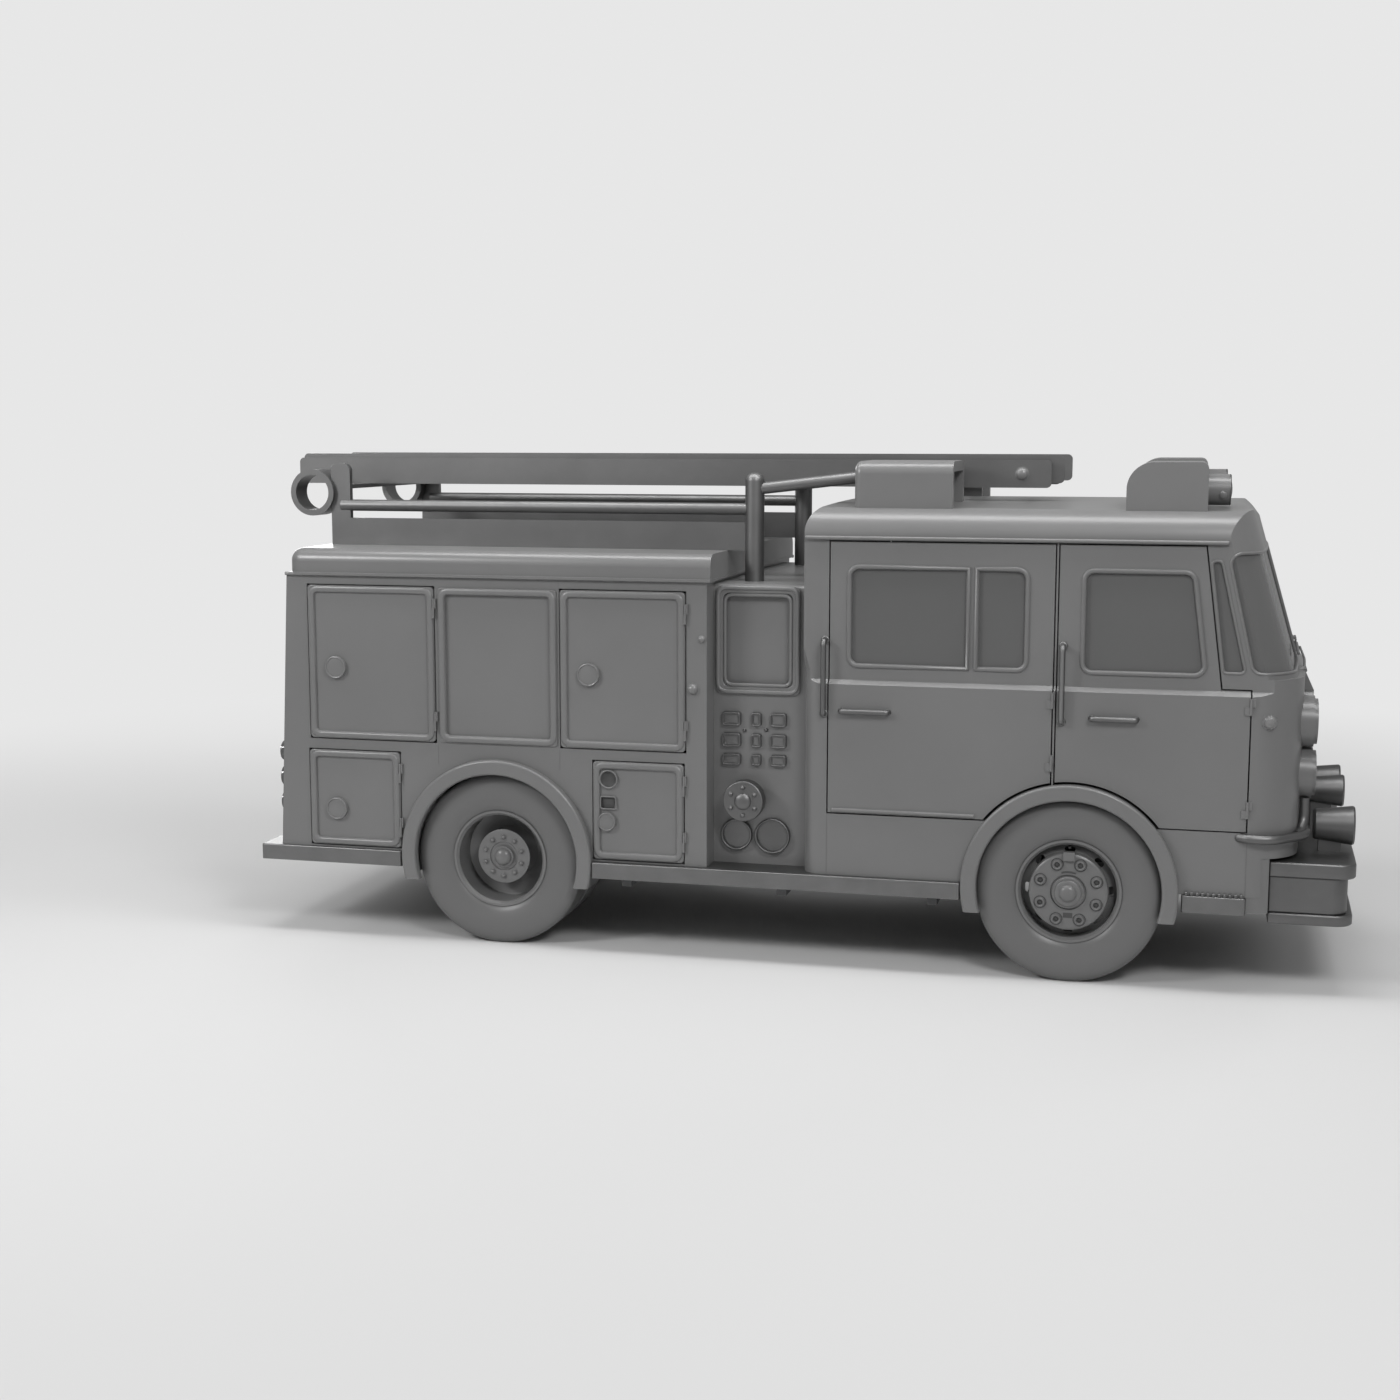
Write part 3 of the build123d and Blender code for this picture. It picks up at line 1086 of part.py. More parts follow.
# Cab doors cut from the cab's own form, with their glass, handles and grab rails
door_rows = (
    ("crew_door", crew_outline, crew_window, (421, 694, 1535)),
    ("front_door", front_outline, front_window, (1849, 2096, 1543)),
)
for side, side_name in ((-1, "right"), (1, "left")):
    for name, outline, window, (handle_rear, handle_front, handle_z) in door_rows:
        with BuildPart() as door:
            add(cab_outer)
            add(cab_inner, mode=Mode.SUBTRACT)
            extrude(polygon(outline, Plane.XZ.offset(-side * (side_y + 60)), 0), amount=side * 240,
                    mode=Mode.INTERSECT)
            extrude(polygon(window, Plane.XZ, window_round), amount=side_y + 50, both=True, mode=Mode.SUBTRACT)
            with BuildSketch(Plane.XZ, mode=Mode.PRIVATE) as wheel_cut:
                with Locations((front_axle_x, arch_z)):
                    Circle(arch_lip_outer_r + arch_door_gap)
            extrude(wheel_cut.sketch, amount=half_width, both=True, mode=Mode.SUBTRACT)
            bent_tube(grip_points(side, side_y - 5, (handle_rear, handle_z), side_y - 5, (handle_front, handle_z)),
                      grip_bend, handle_r)
            line, heights, leaf = cab_hinges[name]
            hinge_barrels(side, line, side_y, heights, (hinge_r, hinge_length), -34)
            if name == "crew_door":
                bar = sorted((side * (upper_y - 34), side * (upper_y - 4)))
                box((1142, bar[0], window_bottom - 5), (1188, bar[1], window_top + 5))
            else:
                bent_tube(grip_points(side, side_y - 5, (door_grab_x, grab_low), upper_y - 5,
                                      (door_grab_x, grab_high)), grip_bend, grab_r)
        keep(door, f"{name}_{side_name}")
        with BuildPart() as glass:
            add(glass_outer)
            add(glass_inner, mode=Mode.SUBTRACT)
            with BuildSketch(Plane.XZ.offset(-side * (side_y + 60)), mode=Mode.PRIVATE) as pane:
                add(polygon(window, Plane.XZ.offset(-side * (side_y + 60)), window_round))
                offset(amount=-glass_play)
            extrude(pane.sketch, amount=side * 240, mode=Mode.INTERSECT)
            if name == "crew_door":
                bar = sorted((side * (upper_y - 60), side * (upper_y + 10)))
                box((1142 - glass_play, bar[0], window_bottom - 5), (1188 + glass_play, bar[1], window_top + 5),
                    mode=Mode.SUBTRACT)
        keep(glass, f"{name}_glass_{side_name}")

# Locker doors: flush leaf, sunk field, raised rim and a disc handle near the rear edge
handle_rows = {"upper_rear": 1696, "upper_front": 1699, "lower_rear": 806, "lower_front": 808}
for side, side_name in ((-1, "right"), (1, "left")):
    for name, x0, x1, z0, z1 in locker_doors:
        with BuildPart() as leaf:
            extrude(polygon(body_side(x0, x1, z0, z1), side_plane(side, body_y - body_wall + seat_gap), 24),
                    amount=-side * (body_wall + leaf_out - seat_gap))
            extrude(polygon(body_side(x0 + rim_width, x1 - rim_width, z0 + rim_width, z1 - rim_width),
                            side_plane(side, body_y + leaf_out), 20), amount=side * leaf_out, mode=Mode.SUBTRACT)
            fillet(leaf.faces().sort_by(Axis.Y)[-1 if side > 0 else 0].edges(), radius=rim_round)
            handle_x, disc_r = (x0 + 88, 56) if name == "lower_front" else (x0 + 180, 68)
            if name == "lower_front":
                # round socket and stowage slot above the handle
                with BuildSketch(side_plane(side, body_y + leaf_out), mode=Mode.PRIVATE) as sockets:
                    with Locations((x0 + 98, 1068)):
                        Circle(50)
                extrude(sockets.sketch, amount=side * (leaf_out + 16), mode=Mode.SUBTRACT)
                slot = [(x0 + 48, 962), (x0 + 146, 962), (x0 + 130, 886), (x0 + 48, 886)]
                extrude(polygon(slot, side_plane(side, body_y + leaf_out), 8),
                        amount=side * (leaf_out + 16), mode=Mode.SUBTRACT)
            with BuildSketch(side_plane(side, body_y - 4), mode=Mode.PRIVATE) as disc:
                with Locations((handle_x, handle_rows[name])):
                    Circle(disc_r)
            extrude(disc.sketch, amount=-side * 24)
            locker_barrels(side, x1, z0, z1, False)
        keep(leaf, f"locker_{name}_{side_name}")
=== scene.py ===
import json
from math import cos, pi, radians, sin

import bpy
from mathutils import Matrix, Vector


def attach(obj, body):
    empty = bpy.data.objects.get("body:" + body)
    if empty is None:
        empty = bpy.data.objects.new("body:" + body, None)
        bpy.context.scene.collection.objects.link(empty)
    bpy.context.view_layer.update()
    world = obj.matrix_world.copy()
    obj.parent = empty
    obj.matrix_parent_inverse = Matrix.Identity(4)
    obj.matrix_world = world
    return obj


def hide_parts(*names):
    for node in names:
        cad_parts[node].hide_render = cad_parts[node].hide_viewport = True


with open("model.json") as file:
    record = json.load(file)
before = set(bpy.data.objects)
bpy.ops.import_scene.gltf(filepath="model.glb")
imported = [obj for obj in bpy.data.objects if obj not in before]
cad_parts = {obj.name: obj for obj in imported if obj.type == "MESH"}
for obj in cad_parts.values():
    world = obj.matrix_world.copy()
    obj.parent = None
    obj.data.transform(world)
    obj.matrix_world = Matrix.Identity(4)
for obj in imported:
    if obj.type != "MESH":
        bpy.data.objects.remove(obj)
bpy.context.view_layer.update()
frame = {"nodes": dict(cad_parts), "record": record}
nodes = frame["nodes"]
print("fire engine: frame loaded")

# Where the big pieces stand, in metres
vehicle = {
    "frontAxleX": 1.745,
    "rearAxleX": -1.715,
    "axleZ": 0.53,
    "frontTyreY": 1.06,
    "rearTyreY": 1.042,
    "twinPitch": 0.304,
    "cabFlankY": 1.2,
    "bodyFlankY": 1.195,
    "noseX": 2.704,         # where the flank starts to turn in to the front
    "noseY": 0.9,
    "noseR": 0.3,
}
toRight = (0, -1, 0)


# ---- materials ----
def srgb(code):
    parts = [int(code[i:i + 2], 16) / 255 for i in (1, 3, 5)]
    return [c / 12.92 if c <= 0.04045 else ((c + 0.055) / 1.055) ** 2.4 for c in parts] + [1]


def addNode(tree, kind, settings=None, links=None):
    node = tree.nodes.new(kind)
    for key, value in (settings or {}).items():
        if isinstance(key, str) and hasattr(node, key):
            setattr(node, key, value)
        else:
            node.inputs[key].default_value = value
    for key, socket in (links or {}).items():
        tree.links.new(socket, node.inputs[key])
    return node


def newMaterial(name, colour, **surface):
    material = bpy.data.materials.new(name)
    material.use_nodes = True
    tree = material.node_tree
    shader = tree.nodes["Principled BSDF"]
    shader.inputs["Base Color"].default_value = srgb(colour)
    for key, value in surface.items():
        shader.inputs[key.replace("_", " ")].default_value = value
    return material, tree, shader


def grain(tree, shader, size, height, stretch=(1, 1, 1)):
    # noise of one real grain size, in metres, as a bump of a real height
    place = addNode(tree, "ShaderNodeTexCoord")
    scaled = addNode(tree, "ShaderNodeMapping", {"Scale": stretch}, {"Vector": place.outputs["Object"]})
    noise = addNode(tree, "ShaderNodeTexNoise", {"Scale": 1 / size, "Detail": 2.0},
                    {"Vector": scaled.outputs["Vector"]})
    bump = addNode(tree, "ShaderNodeBump", {"Strength": 1.0, "Distance": height},
                   {"Height": noise.outputs["Fac"]})
    tree.links.new(bump.outputs["Normal"], shader.inputs["Normal"])


def mottle(tree, shader, colour, other, size):
    # slow change of tone between two colours, as old paint and metal have
    place = addNode(tree, "ShaderNodeTexCoord")
    noise = addNode(tree, "ShaderNodeTexNoise", {"Scale": 1 / size, "Detail": 4.0, "Roughness": 0.6},
                    {"Vector": place.outputs["Object"]})
    ramp = addNode(tree, "ShaderNodeValToRGB", {}, {"Fac": noise.outputs["Fac"]})
    for element, position, code in zip(ramp.color_ramp.elements, (0.35, 0.65), (colour, other)):
        element.position = position
        element.color = srgb(code)
    tree.links.new(ramp.outputs["Color"], shader.inputs["Base Color"])


def waves(tree, value, pitch):
    # ridges across a surface, one to each pitch
    scaled = addNode(tree, "ShaderNodeMath", {"operation": "MULTIPLY", 1: 2 * pi / pitch}, {0: value})
    return addNode(tree, "ShaderNodeMath", {"operation": "SINE"}, {0: scaled.outputs[0]})


def makeSatinEnamel(name, colour, other, roughness):
    # sprayed satin enamel on sheet metal: soft highlight, faint orange peel 6 mm across
    material, tree, shader = newMaterial(name, colour, Roughness=roughness, IOR=1.5, Coat_Weight=0.2,
                                         Coat_Roughness=0.25)
    grain(tree, shader, 0.006, 0.00004)
    mottle(tree, shader, colour, other, 1.2)
    return material


def makeMetal(name, colour, other, roughness, size, height, stretch):
    # bare metal: the grain left by rolling or brushing, drawn coarse enough to show
    material, tree, shader = newMaterial(name, colour, Metallic=1.0, Roughness=roughness)
    grain(tree, shader, size, height, stretch)
    mottle(tree, shader, colour, other, 0.3)
    return material


def makeRubber(name, colour, roughness, size, height):
    # moulded black rubber gone grey: broad dull highlight and a fine mould grain
    material, tree, shader = newMaterial(name, colour, Roughness=roughness, IOR=1.52)
    grain(tree, shader, size, height)
    return material


def makeTreadRubber(name, colour, axleX):
    # tyre tread: sipes 28 mm apart across the crown, worked out round the axle
    sipes, crownFrom, depth = 120, 0.512, 0.004
    material, tree, shader = newMaterial(name, colour, Roughness=0.38, IOR=1.52)
    place = addNode(tree, "ShaderNodeTexCoord")
    centred = addNode(tree, "ShaderNodeMapping", {"Location": (-axleX, 0, -vehicle["axleZ"])},
                      {"Vector": place.outputs["Object"]})
    parts = addNode(tree, "ShaderNodeSeparateXYZ", {}, {"Vector": centred.outputs["Vector"]})
    turn = addNode(tree, "ShaderNodeMath", {"operation": "ARCTAN2"},
                   {0: parts.outputs["Z"], 1: parts.outputs["X"]})
    wave = waves(tree, turn.outputs[0], 2 * pi / sipes)
    sharp = addNode(tree, "ShaderNodeMath", {"operation": "GREATER_THAN", 1: -0.8}, {0: wave.outputs[0]})
    level = addNode(tree, "ShaderNodeVectorMath", {"operation": "MULTIPLY", 1: (1, 0, 1)},
                    {0: centred.outputs["Vector"]})
    radius = addNode(tree, "ShaderNodeVectorMath", {"operation": "LENGTH"}, {0: level.outputs["Vector"]})
    crown = addNode(tree, "ShaderNodeMath", {"operation": "GREATER_THAN", 1: crownFrom},
                    {0: radius.outputs["Value"]})
    groove = addNode(tree, "ShaderNodeMath", {"operation": "MULTIPLY"},
                     {0: sharp.outputs[0], 1: crown.outputs[0]})
    bump = addNode(tree, "ShaderNodeBump", {"Strength": 1.0, "Distance": depth},
                   {"Height": groove.outputs[0]})
    tree.links.new(bump.outputs["Normal"], shader.inputs["Normal"])
    return material


def makeTreadPlate(name, colour, other):
    # five-bar aluminium plate: raised bars 30 mm apart on the upward faces
    pitch, depth = 0.03, 0.0025
    material, tree, shader = newMaterial(name, colour, Metallic=1.0, Roughness=0.42)
    place = addNode(tree, "ShaderNodeTexCoord")
    slants = []
    for turn in (45, -45):
        turned = addNode(tree, "ShaderNodeMapping", {"Rotation": (0, 0, radians(turn))},
                         {"Vector": place.outputs["Object"]})
        parts = addNode(tree, "ShaderNodeSeparateXYZ", {}, {"Vector": turned.outputs["Vector"]})
        slants.append(waves(tree, parts.outputs["X"], pitch).outputs[0])
    both = addNode(tree, "ShaderNodeMath", {"operation": "MULTIPLY"}, dict(enumerate(slants)))
    bars = addNode(tree, "ShaderNodeMath", {"operation": "GREATER_THAN", 1: 0.35}, {0: both.outputs[0]})
    facing = addNode(tree, "ShaderNodeNewGeometry")
    way = addNode(tree, "ShaderNodeSeparateXYZ", {}, {"Vector": facing.outputs["True Normal"]})
    upward = addNode(tree, "ShaderNodeMath", {"operation": "GREATER_THAN", 1: 0.8}, {0: way.outputs["Z"]})
    masked = addNode(tree, "ShaderNodeMath", {"operation": "MULTIPLY"},
                     {0: bars.outputs[0], 1: upward.outputs[0]})
    bump = addNode(tree, "ShaderNodeBump", {"Strength": 1.0, "Distance": depth},
                   {"Height": masked.outputs[0]})
    tree.links.new(bump.outputs["Normal"], shader.inputs["Normal"])
    mottle(tree, shader, colour, other, 0.25)
    return material


def makeGlass(name, colour, clearness, roughness):
    # tinted safety glass: hard sharp reflections and little to see behind it
    return newMaterial(name, colour, Roughness=roughness, IOR=1.5, Transmission_Weight=clearness)[0]


def makeLens(name, colour, pitch):
    # moulded lamp lens: upright flutes a few millimetres apart
    material, tree, shader = newMaterial(name, colour, Roughness=0.12, IOR=1.5, Transmission_Weight=0.35)
    place = addNode(tree, "ShaderNodeTexCoord")
    parts = addNode(tree, "ShaderNodeSeparateXYZ", {}, {"Vector": place.outputs["Object"]})
    bump = addNode(tree, "ShaderNodeBump", {"Strength": 1.0, "Distance": 0.0012},
                   {"Height": waves(tree, parts.outputs["Y"], pitch).outputs[0]})
    tree.links.new(bump.outputs["Normal"], shader.inputs["Normal"])
    return material


def makeCloth(name, colour, thread):
    # woven seat cloth: threads crossing every few millimetres
    material, tree, shader = newMaterial(name, colour, Roughness=0.9, Sheen_Weight=0.3)
    place = addNode(tree, "ShaderNodeTexCoord")
    parts = addNode(tree, "ShaderNodeSeparateXYZ", {}, {"Vector": place.outputs["Object"]})
    x, y, z = [waves(tree, parts.outputs[axis], thread).outputs[0] for axis in ("X", "Y", "Z")]
    warp = addNode(tree, "ShaderNodeMath", {"operation": "ADD"}, {0: x, 1: y})
    weave = addNode(tree, "ShaderNodeMath", {"operation": "ADD"}, {0: warp.outputs[0], 1: z})
    bump = addNode(tree, "ShaderNodeBump", {"Strength": 0.6, "Distance": 0.0006},
                   {"Height": weave.outputs[0]})
    tree.links.new(bump.outputs["Normal"], shader.inputs["Normal"])
    return material


finish = {
    "satinEnamel": makeSatinEnamel("satinEnamel", "#6f6f6f", "#6b6b6b", 0.33),
    "rimEnamel": makeSatinEnamel("rimEnamel", "#6c6c6c", "#676767", 0.36),
    "chassisPaint": makeSatinEnamel("chassisPaint", "#4a4a4b", "#404142", 0.5),
    "castIron": makeSatinEnamel("castIron", "#505152", "#454647", 0.65),
    "mouldedTank": makeRubber("mouldedTank", "#868786", 0.6, 0.003, 0.0001),
    "treadAluminium": makeTreadPlate("treadAluminium", "#787878", "#808080"),
    "satinSteel": makeMetal("satinSteel", "#767676", "#717171", 0.46, 0.002, 0.00002, (1, 1, 1)),
    "brushedAlloy": makeMetal("brushedAlloy", "#7c7c7c", "#767676", 0.48, 0.0015, 0.00003, (0.04, 1, 1)),
    "sealRubber": makeRubber("sealRubber", "#616161", 0.42, 0.002, 0.00002),
    # dark grey painted shade: darkens the hub slots, the lug grooves and the socket hollows, where shade
    # falls
    "paintedShade": makeRubber("paintedShade", "#424242", 0.6, 0.002, 0.00002),
    "frontTread": makeTreadRubber("frontTread", "#636363", vehicle["frontAxleX"]),
    "rearTread": makeTreadRubber("rearTread", "#636363", vehicle["rearAxleX"]),
    "smokedGlass": makeGlass("smokedGlass", "#727272", 0.36, 0.08),
    "lampGlass": makeLens("lampGlass", "#8c8c8c", 0.011),
    "seatCloth": makeCloth("seatCloth", "#4b4c4e", 0.004),
    "grainedPlastic": makeRubber("grainedPlastic", "#505152", 0.55, 0.0015, 0.00012),
    "floorRubber": makeRubber("floorRubber", "#4a4a4a", 0.8, 0.004, 0.0003),
}

slotFinish = {
    "body_paint": "satinEnamel",
    "frame_steel": "chassisPaint",
    "cast_metal": "castIron",
    "tank_plastic": "mouldedTank",
    "tread_plate": "treadAluminium",
    "bright_metal": "satinSteel",
    "ladder_alloy": "brushedAlloy",
    "rim_steel": "rimEnamel",
    "tyre": "sealRubber",
    "glass": "smokedGlass",
    "seat_fabric": "seatCloth",
    "trim_plastic": "grainedPlastic",
    "floor_rubber": "floorRubber",
}
for row in frame["record"]["subparts"]:
    node = nodes[row["node"]]
    node.data.materials.clear()
    node.data.materials.append(finish[slotFinish[row["material_slot"]]])
    for polygon in node.data.polygons:
        polygon.use_smooth = True
    node.data.set_sharp_from_angle(angle=radians(32))
print("fire engine: finishes on the frame's nodes")


# ---- modelling helpers ----
def deselect():
    if bpy.context.object and bpy.context.object.mode != "OBJECT":
        bpy.ops.object.mode_set(mode="OBJECT")
    bpy.ops.object.select_all(action="DESELECT")


def startVertex(name, point):
    # a plane merged to one vertex, the start of every drawn outline
    deselect()
    bpy.ops.mesh.primitive_plane_add(size=0.01, location=(0, 0, 0))
    piece = bpy.context.object
    piece.name = name
    bpy.ops.object.mode_set(mode="EDIT")
    bpy.ops.mesh.select_mode(type="VERT")
    bpy.ops.mesh.select_all(action="SELECT")
    bpy.ops.mesh.merge(type="CENTER")
    bpy.ops.transform.translate(value=point)
    return piece


def drawPath(name, points):
    piece = startVertex(name, points[0])
    for before, after in zip(points, points[1:]):
        step = [b - a for a, b in zip(before, after)]
        bpy.ops.mesh.extrude_region_move(TRANSFORM_OT_translate={"value": step})
    return piece


def lathe(name, profile, centre, axis, steps=48):
    # profile pairs are distance along the axis and radius
    axis = Vector(axis).normalized()
    across = axis.orthogonal().normalized()
    spots = [Vector(centre) + axis * along + across * radius for along, radius in profile]
    piece = drawPath(name, spots)
    bpy.ops.mesh.select_all(action="SELECT")
    bpy.ops.mesh.spin(steps=steps, angle=2 * pi, center=centre, axis=axis)
    bpy.ops.mesh.select_all(action="SELECT")
    bpy.ops.mesh.remove_doubles(threshold=0.00002)
    bpy.ops.mesh.select_all(action="SELECT")
    bpy.ops.mesh.normals_make_consistent(inside=False)
    bpy.ops.object.mode_set(mode="OBJECT")
    return piece


def rounded(points, radius, steps=5, closed=False):
    # the same run of points with each corner turned into a short arc
    spots = [Vector(p) for p in points]
    count = len(spots)
    made = []
    for i, spot in enumerate(spots):
        if not closed and i in (0, count - 1):
            made.append(spot)
            continue
        before, after = spots[i - 1], spots[(i + 1) % count]
        into, out = (before - spot), (after - spot)
        reach = min(radius, into.length * 0.45, out.length * 0.45)
        a, b = spot + into.normalized() * reach, spot + out.normalized() * reach
        for k in range(steps + 1):
            t = k / steps
            made.append(a * (1 - t) ** 2 + spot * 2 * t * (1 - t) + b * t ** 2)
    if closed:
        made.append(made[0].copy())
    return made


def tube(name, points, radius, closed=False, sides=10):
    piece = drawPath(name, points)
    if closed:
        bpy.ops.mesh.select_all(action="SELECT")
        bpy.ops.mesh.remove_doubles(threshold=0.00002)
    bpy.ops.object.mode_set(mode="OBJECT")
    return inflate(piece, radius, sides)


def inflate(piece, radius, sides=10):
    # a wire mesh becomes a curve, gets its thickness, and becomes a mesh again
    deselect()
    piece.select_set(True)
    bpy.context.view_layer.objects.active = piece
    bpy.ops.object.convert(target="CURVE")
    piece = bpy.context.object
    piece.data.bevel_depth = radius
    piece.data.bevel_resolution = max(0, sides // 4)
    piece.data.use_fill_caps = True
    bpy.ops.object.convert(target="MESH")
    return bpy.context.object


def block(name, low, high, bevel=0.0, segments=3):
    deselect()
    middle = [(a + b) / 2 for a, b in zip(low, high)]
    size = [b - a for a, b in zip(low, high)]
    bpy.ops.mesh.primitive_cube_add(size=1, location=middle, scale=size)
    piece = bpy.context.object
    piece.name = name
    bpy.ops.object.transform_apply(location=True, rotation=True, scale=True)
    if bevel:
        bpy.ops.object.mode_set(mode="EDIT")
        bpy.ops.mesh.select_all(action="SELECT")
        bpy.ops.mesh.bevel(offset=bevel, segments=segments, affect="EDGES")
        bpy.ops.object.mode_set(mode="OBJECT")
    return piece


def moved(piece, name, matrix):
    other = piece.copy()
    other.data = piece.data.copy()
    other.name = name
    other.data.transform(matrix)
    if matrix.determinant() < 0:
        other.data.flip_normals()
    bpy.context.scene.collection.objects.link(other)
    return other


def joined(name, parts):
    deselect()
    for part in parts:
        part.select_set(True)
    bpy.context.view_layer.objects.active = parts[0]
    if len(parts) > 1:
        bpy.ops.object.join()
    parts[0].name = name
    return parts[0]


def dress(piece, name, body, finishName, smooth=35):
    # name, place, shading, material and body of a finished piece
    deselect()
    piece.select_set(True)
    bpy.context.view_layer.objects.active = piece
    bpy.ops.object.transform_apply(location=True, rotation=True, scale=True)
    bpy.ops.object.shade_smooth_by_angle(angle=radians(smooth))
    piece.name = name
    piece.data.materials.clear()
    piece.data.materials.append(finish[finishName])
    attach(piece, body)
    return piece


def mirrorSide(piece, name):
    return moved(piece, name, Matrix.Diagonal((1, -1, 1, 1)))


def bothSides(piece, name, body, finishName, smooth=35, inPlaceOf=None):
    # dress a right-hand piece and its left-hand twin; body may hold a %s for the side
    twin = mirrorSide(piece, name + "Left")
    for part, side in ((piece, "right"), (twin, "left")):
        dress(part, name + side.capitalize(), body.replace("%s", side), finishName, smooth)
        if inPlaceOf:
            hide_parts(inPlaceOf.replace("%s", side))


# ---- tyres with ribs, grooves and a beaded side ----
tyreShape = {
    "crownR": 0.53,
    "grooveDepth": 0.011,
    "grooveHalf": 0.005,
    "groovePlaces": (-0.066, -0.022, 0.022, 0.066),
    "treadHalf": 0.108,
    "steps": 96,
}


def tyreProfile(middle):
    # pairs of distance across the tyre and radius, from bead over the crown to bead
    t = tyreShape
    crown = t["crownR"]
    half = [(-0.104, 0.2865), (-0.1045, 0.302), (-0.109, 0.306), (-0.1205, 0.335), (-0.1335, 0.375),
            (-0.138, 0.415), (-0.1375, 0.445), (-0.1345, 0.47),
            (-0.129, 0.495), (-0.1195, 0.513), (-t["treadHalf"], crown - 0.004), (-0.1, crown)]
    ribs = []
    for place in t["groovePlaces"]:
        near, far, floor = place - t["grooveHalf"], place + t["grooveHalf"], crown - t["grooveDepth"]
        ribs += [(near, crown), (near + 0.001, floor), (far - 0.001, floor), (far, crown)]
    full = half + ribs + [(-along, radius) for along, radius in reversed(half)]
    full.append(full[0])
    return [(middle + along, radius) for along, radius in full]


frontTyre = lathe("frontTyre", tyreProfile(vehicle["frontTyreY"]),
                  (vehicle["frontAxleX"], 0, vehicle["axleZ"]), toRight, tyreShape["steps"])
outer = lathe("rearTyre", tyreProfile(vehicle["rearTyreY"]),
              (vehicle["rearAxleX"], 0, vehicle["axleZ"]), toRight, tyreShape["steps"])
inner = moved(outer, "rearTyreInner", Matrix.Translation((0, vehicle["twinPitch"], 0)))
rearTyres = joined("rearTyres", [outer, inner])
bothSides(frontTyre, "ribbedFrontTyre", "front_wheel_%s", "frontTread", 40, "front_tyre_%s")
bothSides(rearTyres, "ribbedRearTyres", "rear_wheels_%s", "rearTread", 40, "rear_tyres_%s")
print("fire engine: tyres")


# ---- hubs, wheel nuts and valves ----
frontHub = {
    "faceY": 1.184,
    "disc": ((-0.05, 0.228), (-0.02, 0.2265), (-0.008, 0.222), (-0.002, 0.213), (0.0, 0.2), (0.0, 0.103),
             (-0.008, 0.1), (-0.008, 0.094), (0.016, 0.093), (0.022, 0.087), (0.022, 0.076), (0.034, 0.074),
             (0.038, 0.068), (0.038, 0.05), (0.044, 0.047), (0.052, 0.041), (0.057, 0.029), (0.0595, 0.014),
             (0.06, 0.0)),
    "nuts": 8,
    "nutCircle": 0.172,
    "bossR": 0.029,
    "boss": ((-0.002, 0.004), (0.004, 0.002), (0.014, 0.0), (0.019, -0.004), (0.019, -0.009), (0.015, -0.013),
             (0.004, -0.014)),        # distance out and growth over bossR
    "bossFoot": ((-0.001, 0.0085), (0.0008, 0.008), (0.0008, 0.002)),
    "hollow": ((0.0035, 0.0155), (0.0062, 0.0145), (0.0085, 0.006), (0.0088, 0.0)),
    "tab": {"reach": 0.209, "half": 0.035, "tall": 0.052, "proud": 0.02},
    "slot": {"reach": 0.136, "half": 0.027, "tall": 0.03},
    "arcR": 0.118,
    "arcThick": 0.0055,
}
rearHub = {
    "faceY": 1.079,
    "flange": ((-0.03, 0.158), (-0.012, 0.168), (-0.002, 0.169), (0.0, 0.165), (0.0, 0.092), (-0.004, 0.088),
               (-0.012, 0.08)),
    "nuts": 10,
    "nutCircle": 0.122,
    "nutR": 0.0155,
    "nutHeight": 0.018,
    "domeFaceY": 1.096,
    "domeR": 0.056,
    "domeHeight": 0.036,
}


def dome(name, centre, axis, radius, height, steps=28):
    # washer edge and a round head
    rim = [(-0.002, radius * 1.22), (0.002, radius * 1.2), (0.003, radius)]
    head = [(0.003 + height * sin(radians(a)), radius * cos(radians(a))) for a in (15, 30, 45, 60, 75)]
    return lathe(name, rim + head + [(0.003 + height, 0)], centre, axis, steps)


def ring(name, centre, axis, radius, thick, steps=40):
    section = [(thick * cos(radians(a)), radius + thick * sin(radians(a))) for a in range(0, 361, 45)]
    return lathe(name, section, centre, axis, steps)


def wheelSpot(axleX, faceY, reach=0.0):
    # a spot on a right-hand wheel's face, reach above the axle
    return (axleX, -faceY, vehicle["axleZ"] + reach)


def ringOf(name, first, axleX, count, start):
    # copies of one piece at the top of the wheel, turned round the axle; start is in degrees
    hub = Vector((axleX, 0, vehicle["axleZ"]))
    copies = []
    for k in range(count):
        turn = Matrix.Rotation(radians(start + 360 * k / count), 4, "Y")
        copies.append(moved(first, name + str(k), Matrix.Translation(hub) @ turn @ Matrix.Translation(-hub)))
    bpy.data.objects.remove(first)
    return joined(name, copies)


def faceBlock(name, centre, size, outward, inward, bevel, segments=3):
    # block let into a right-hand face; size holds its half width and its height
    x, y, z = centre
    half, up = size["half"], size["tall"] / 2
    return block(name, (x - half, y - outward, z - up), (x + half, y + inward, z + up), bevel, segments)


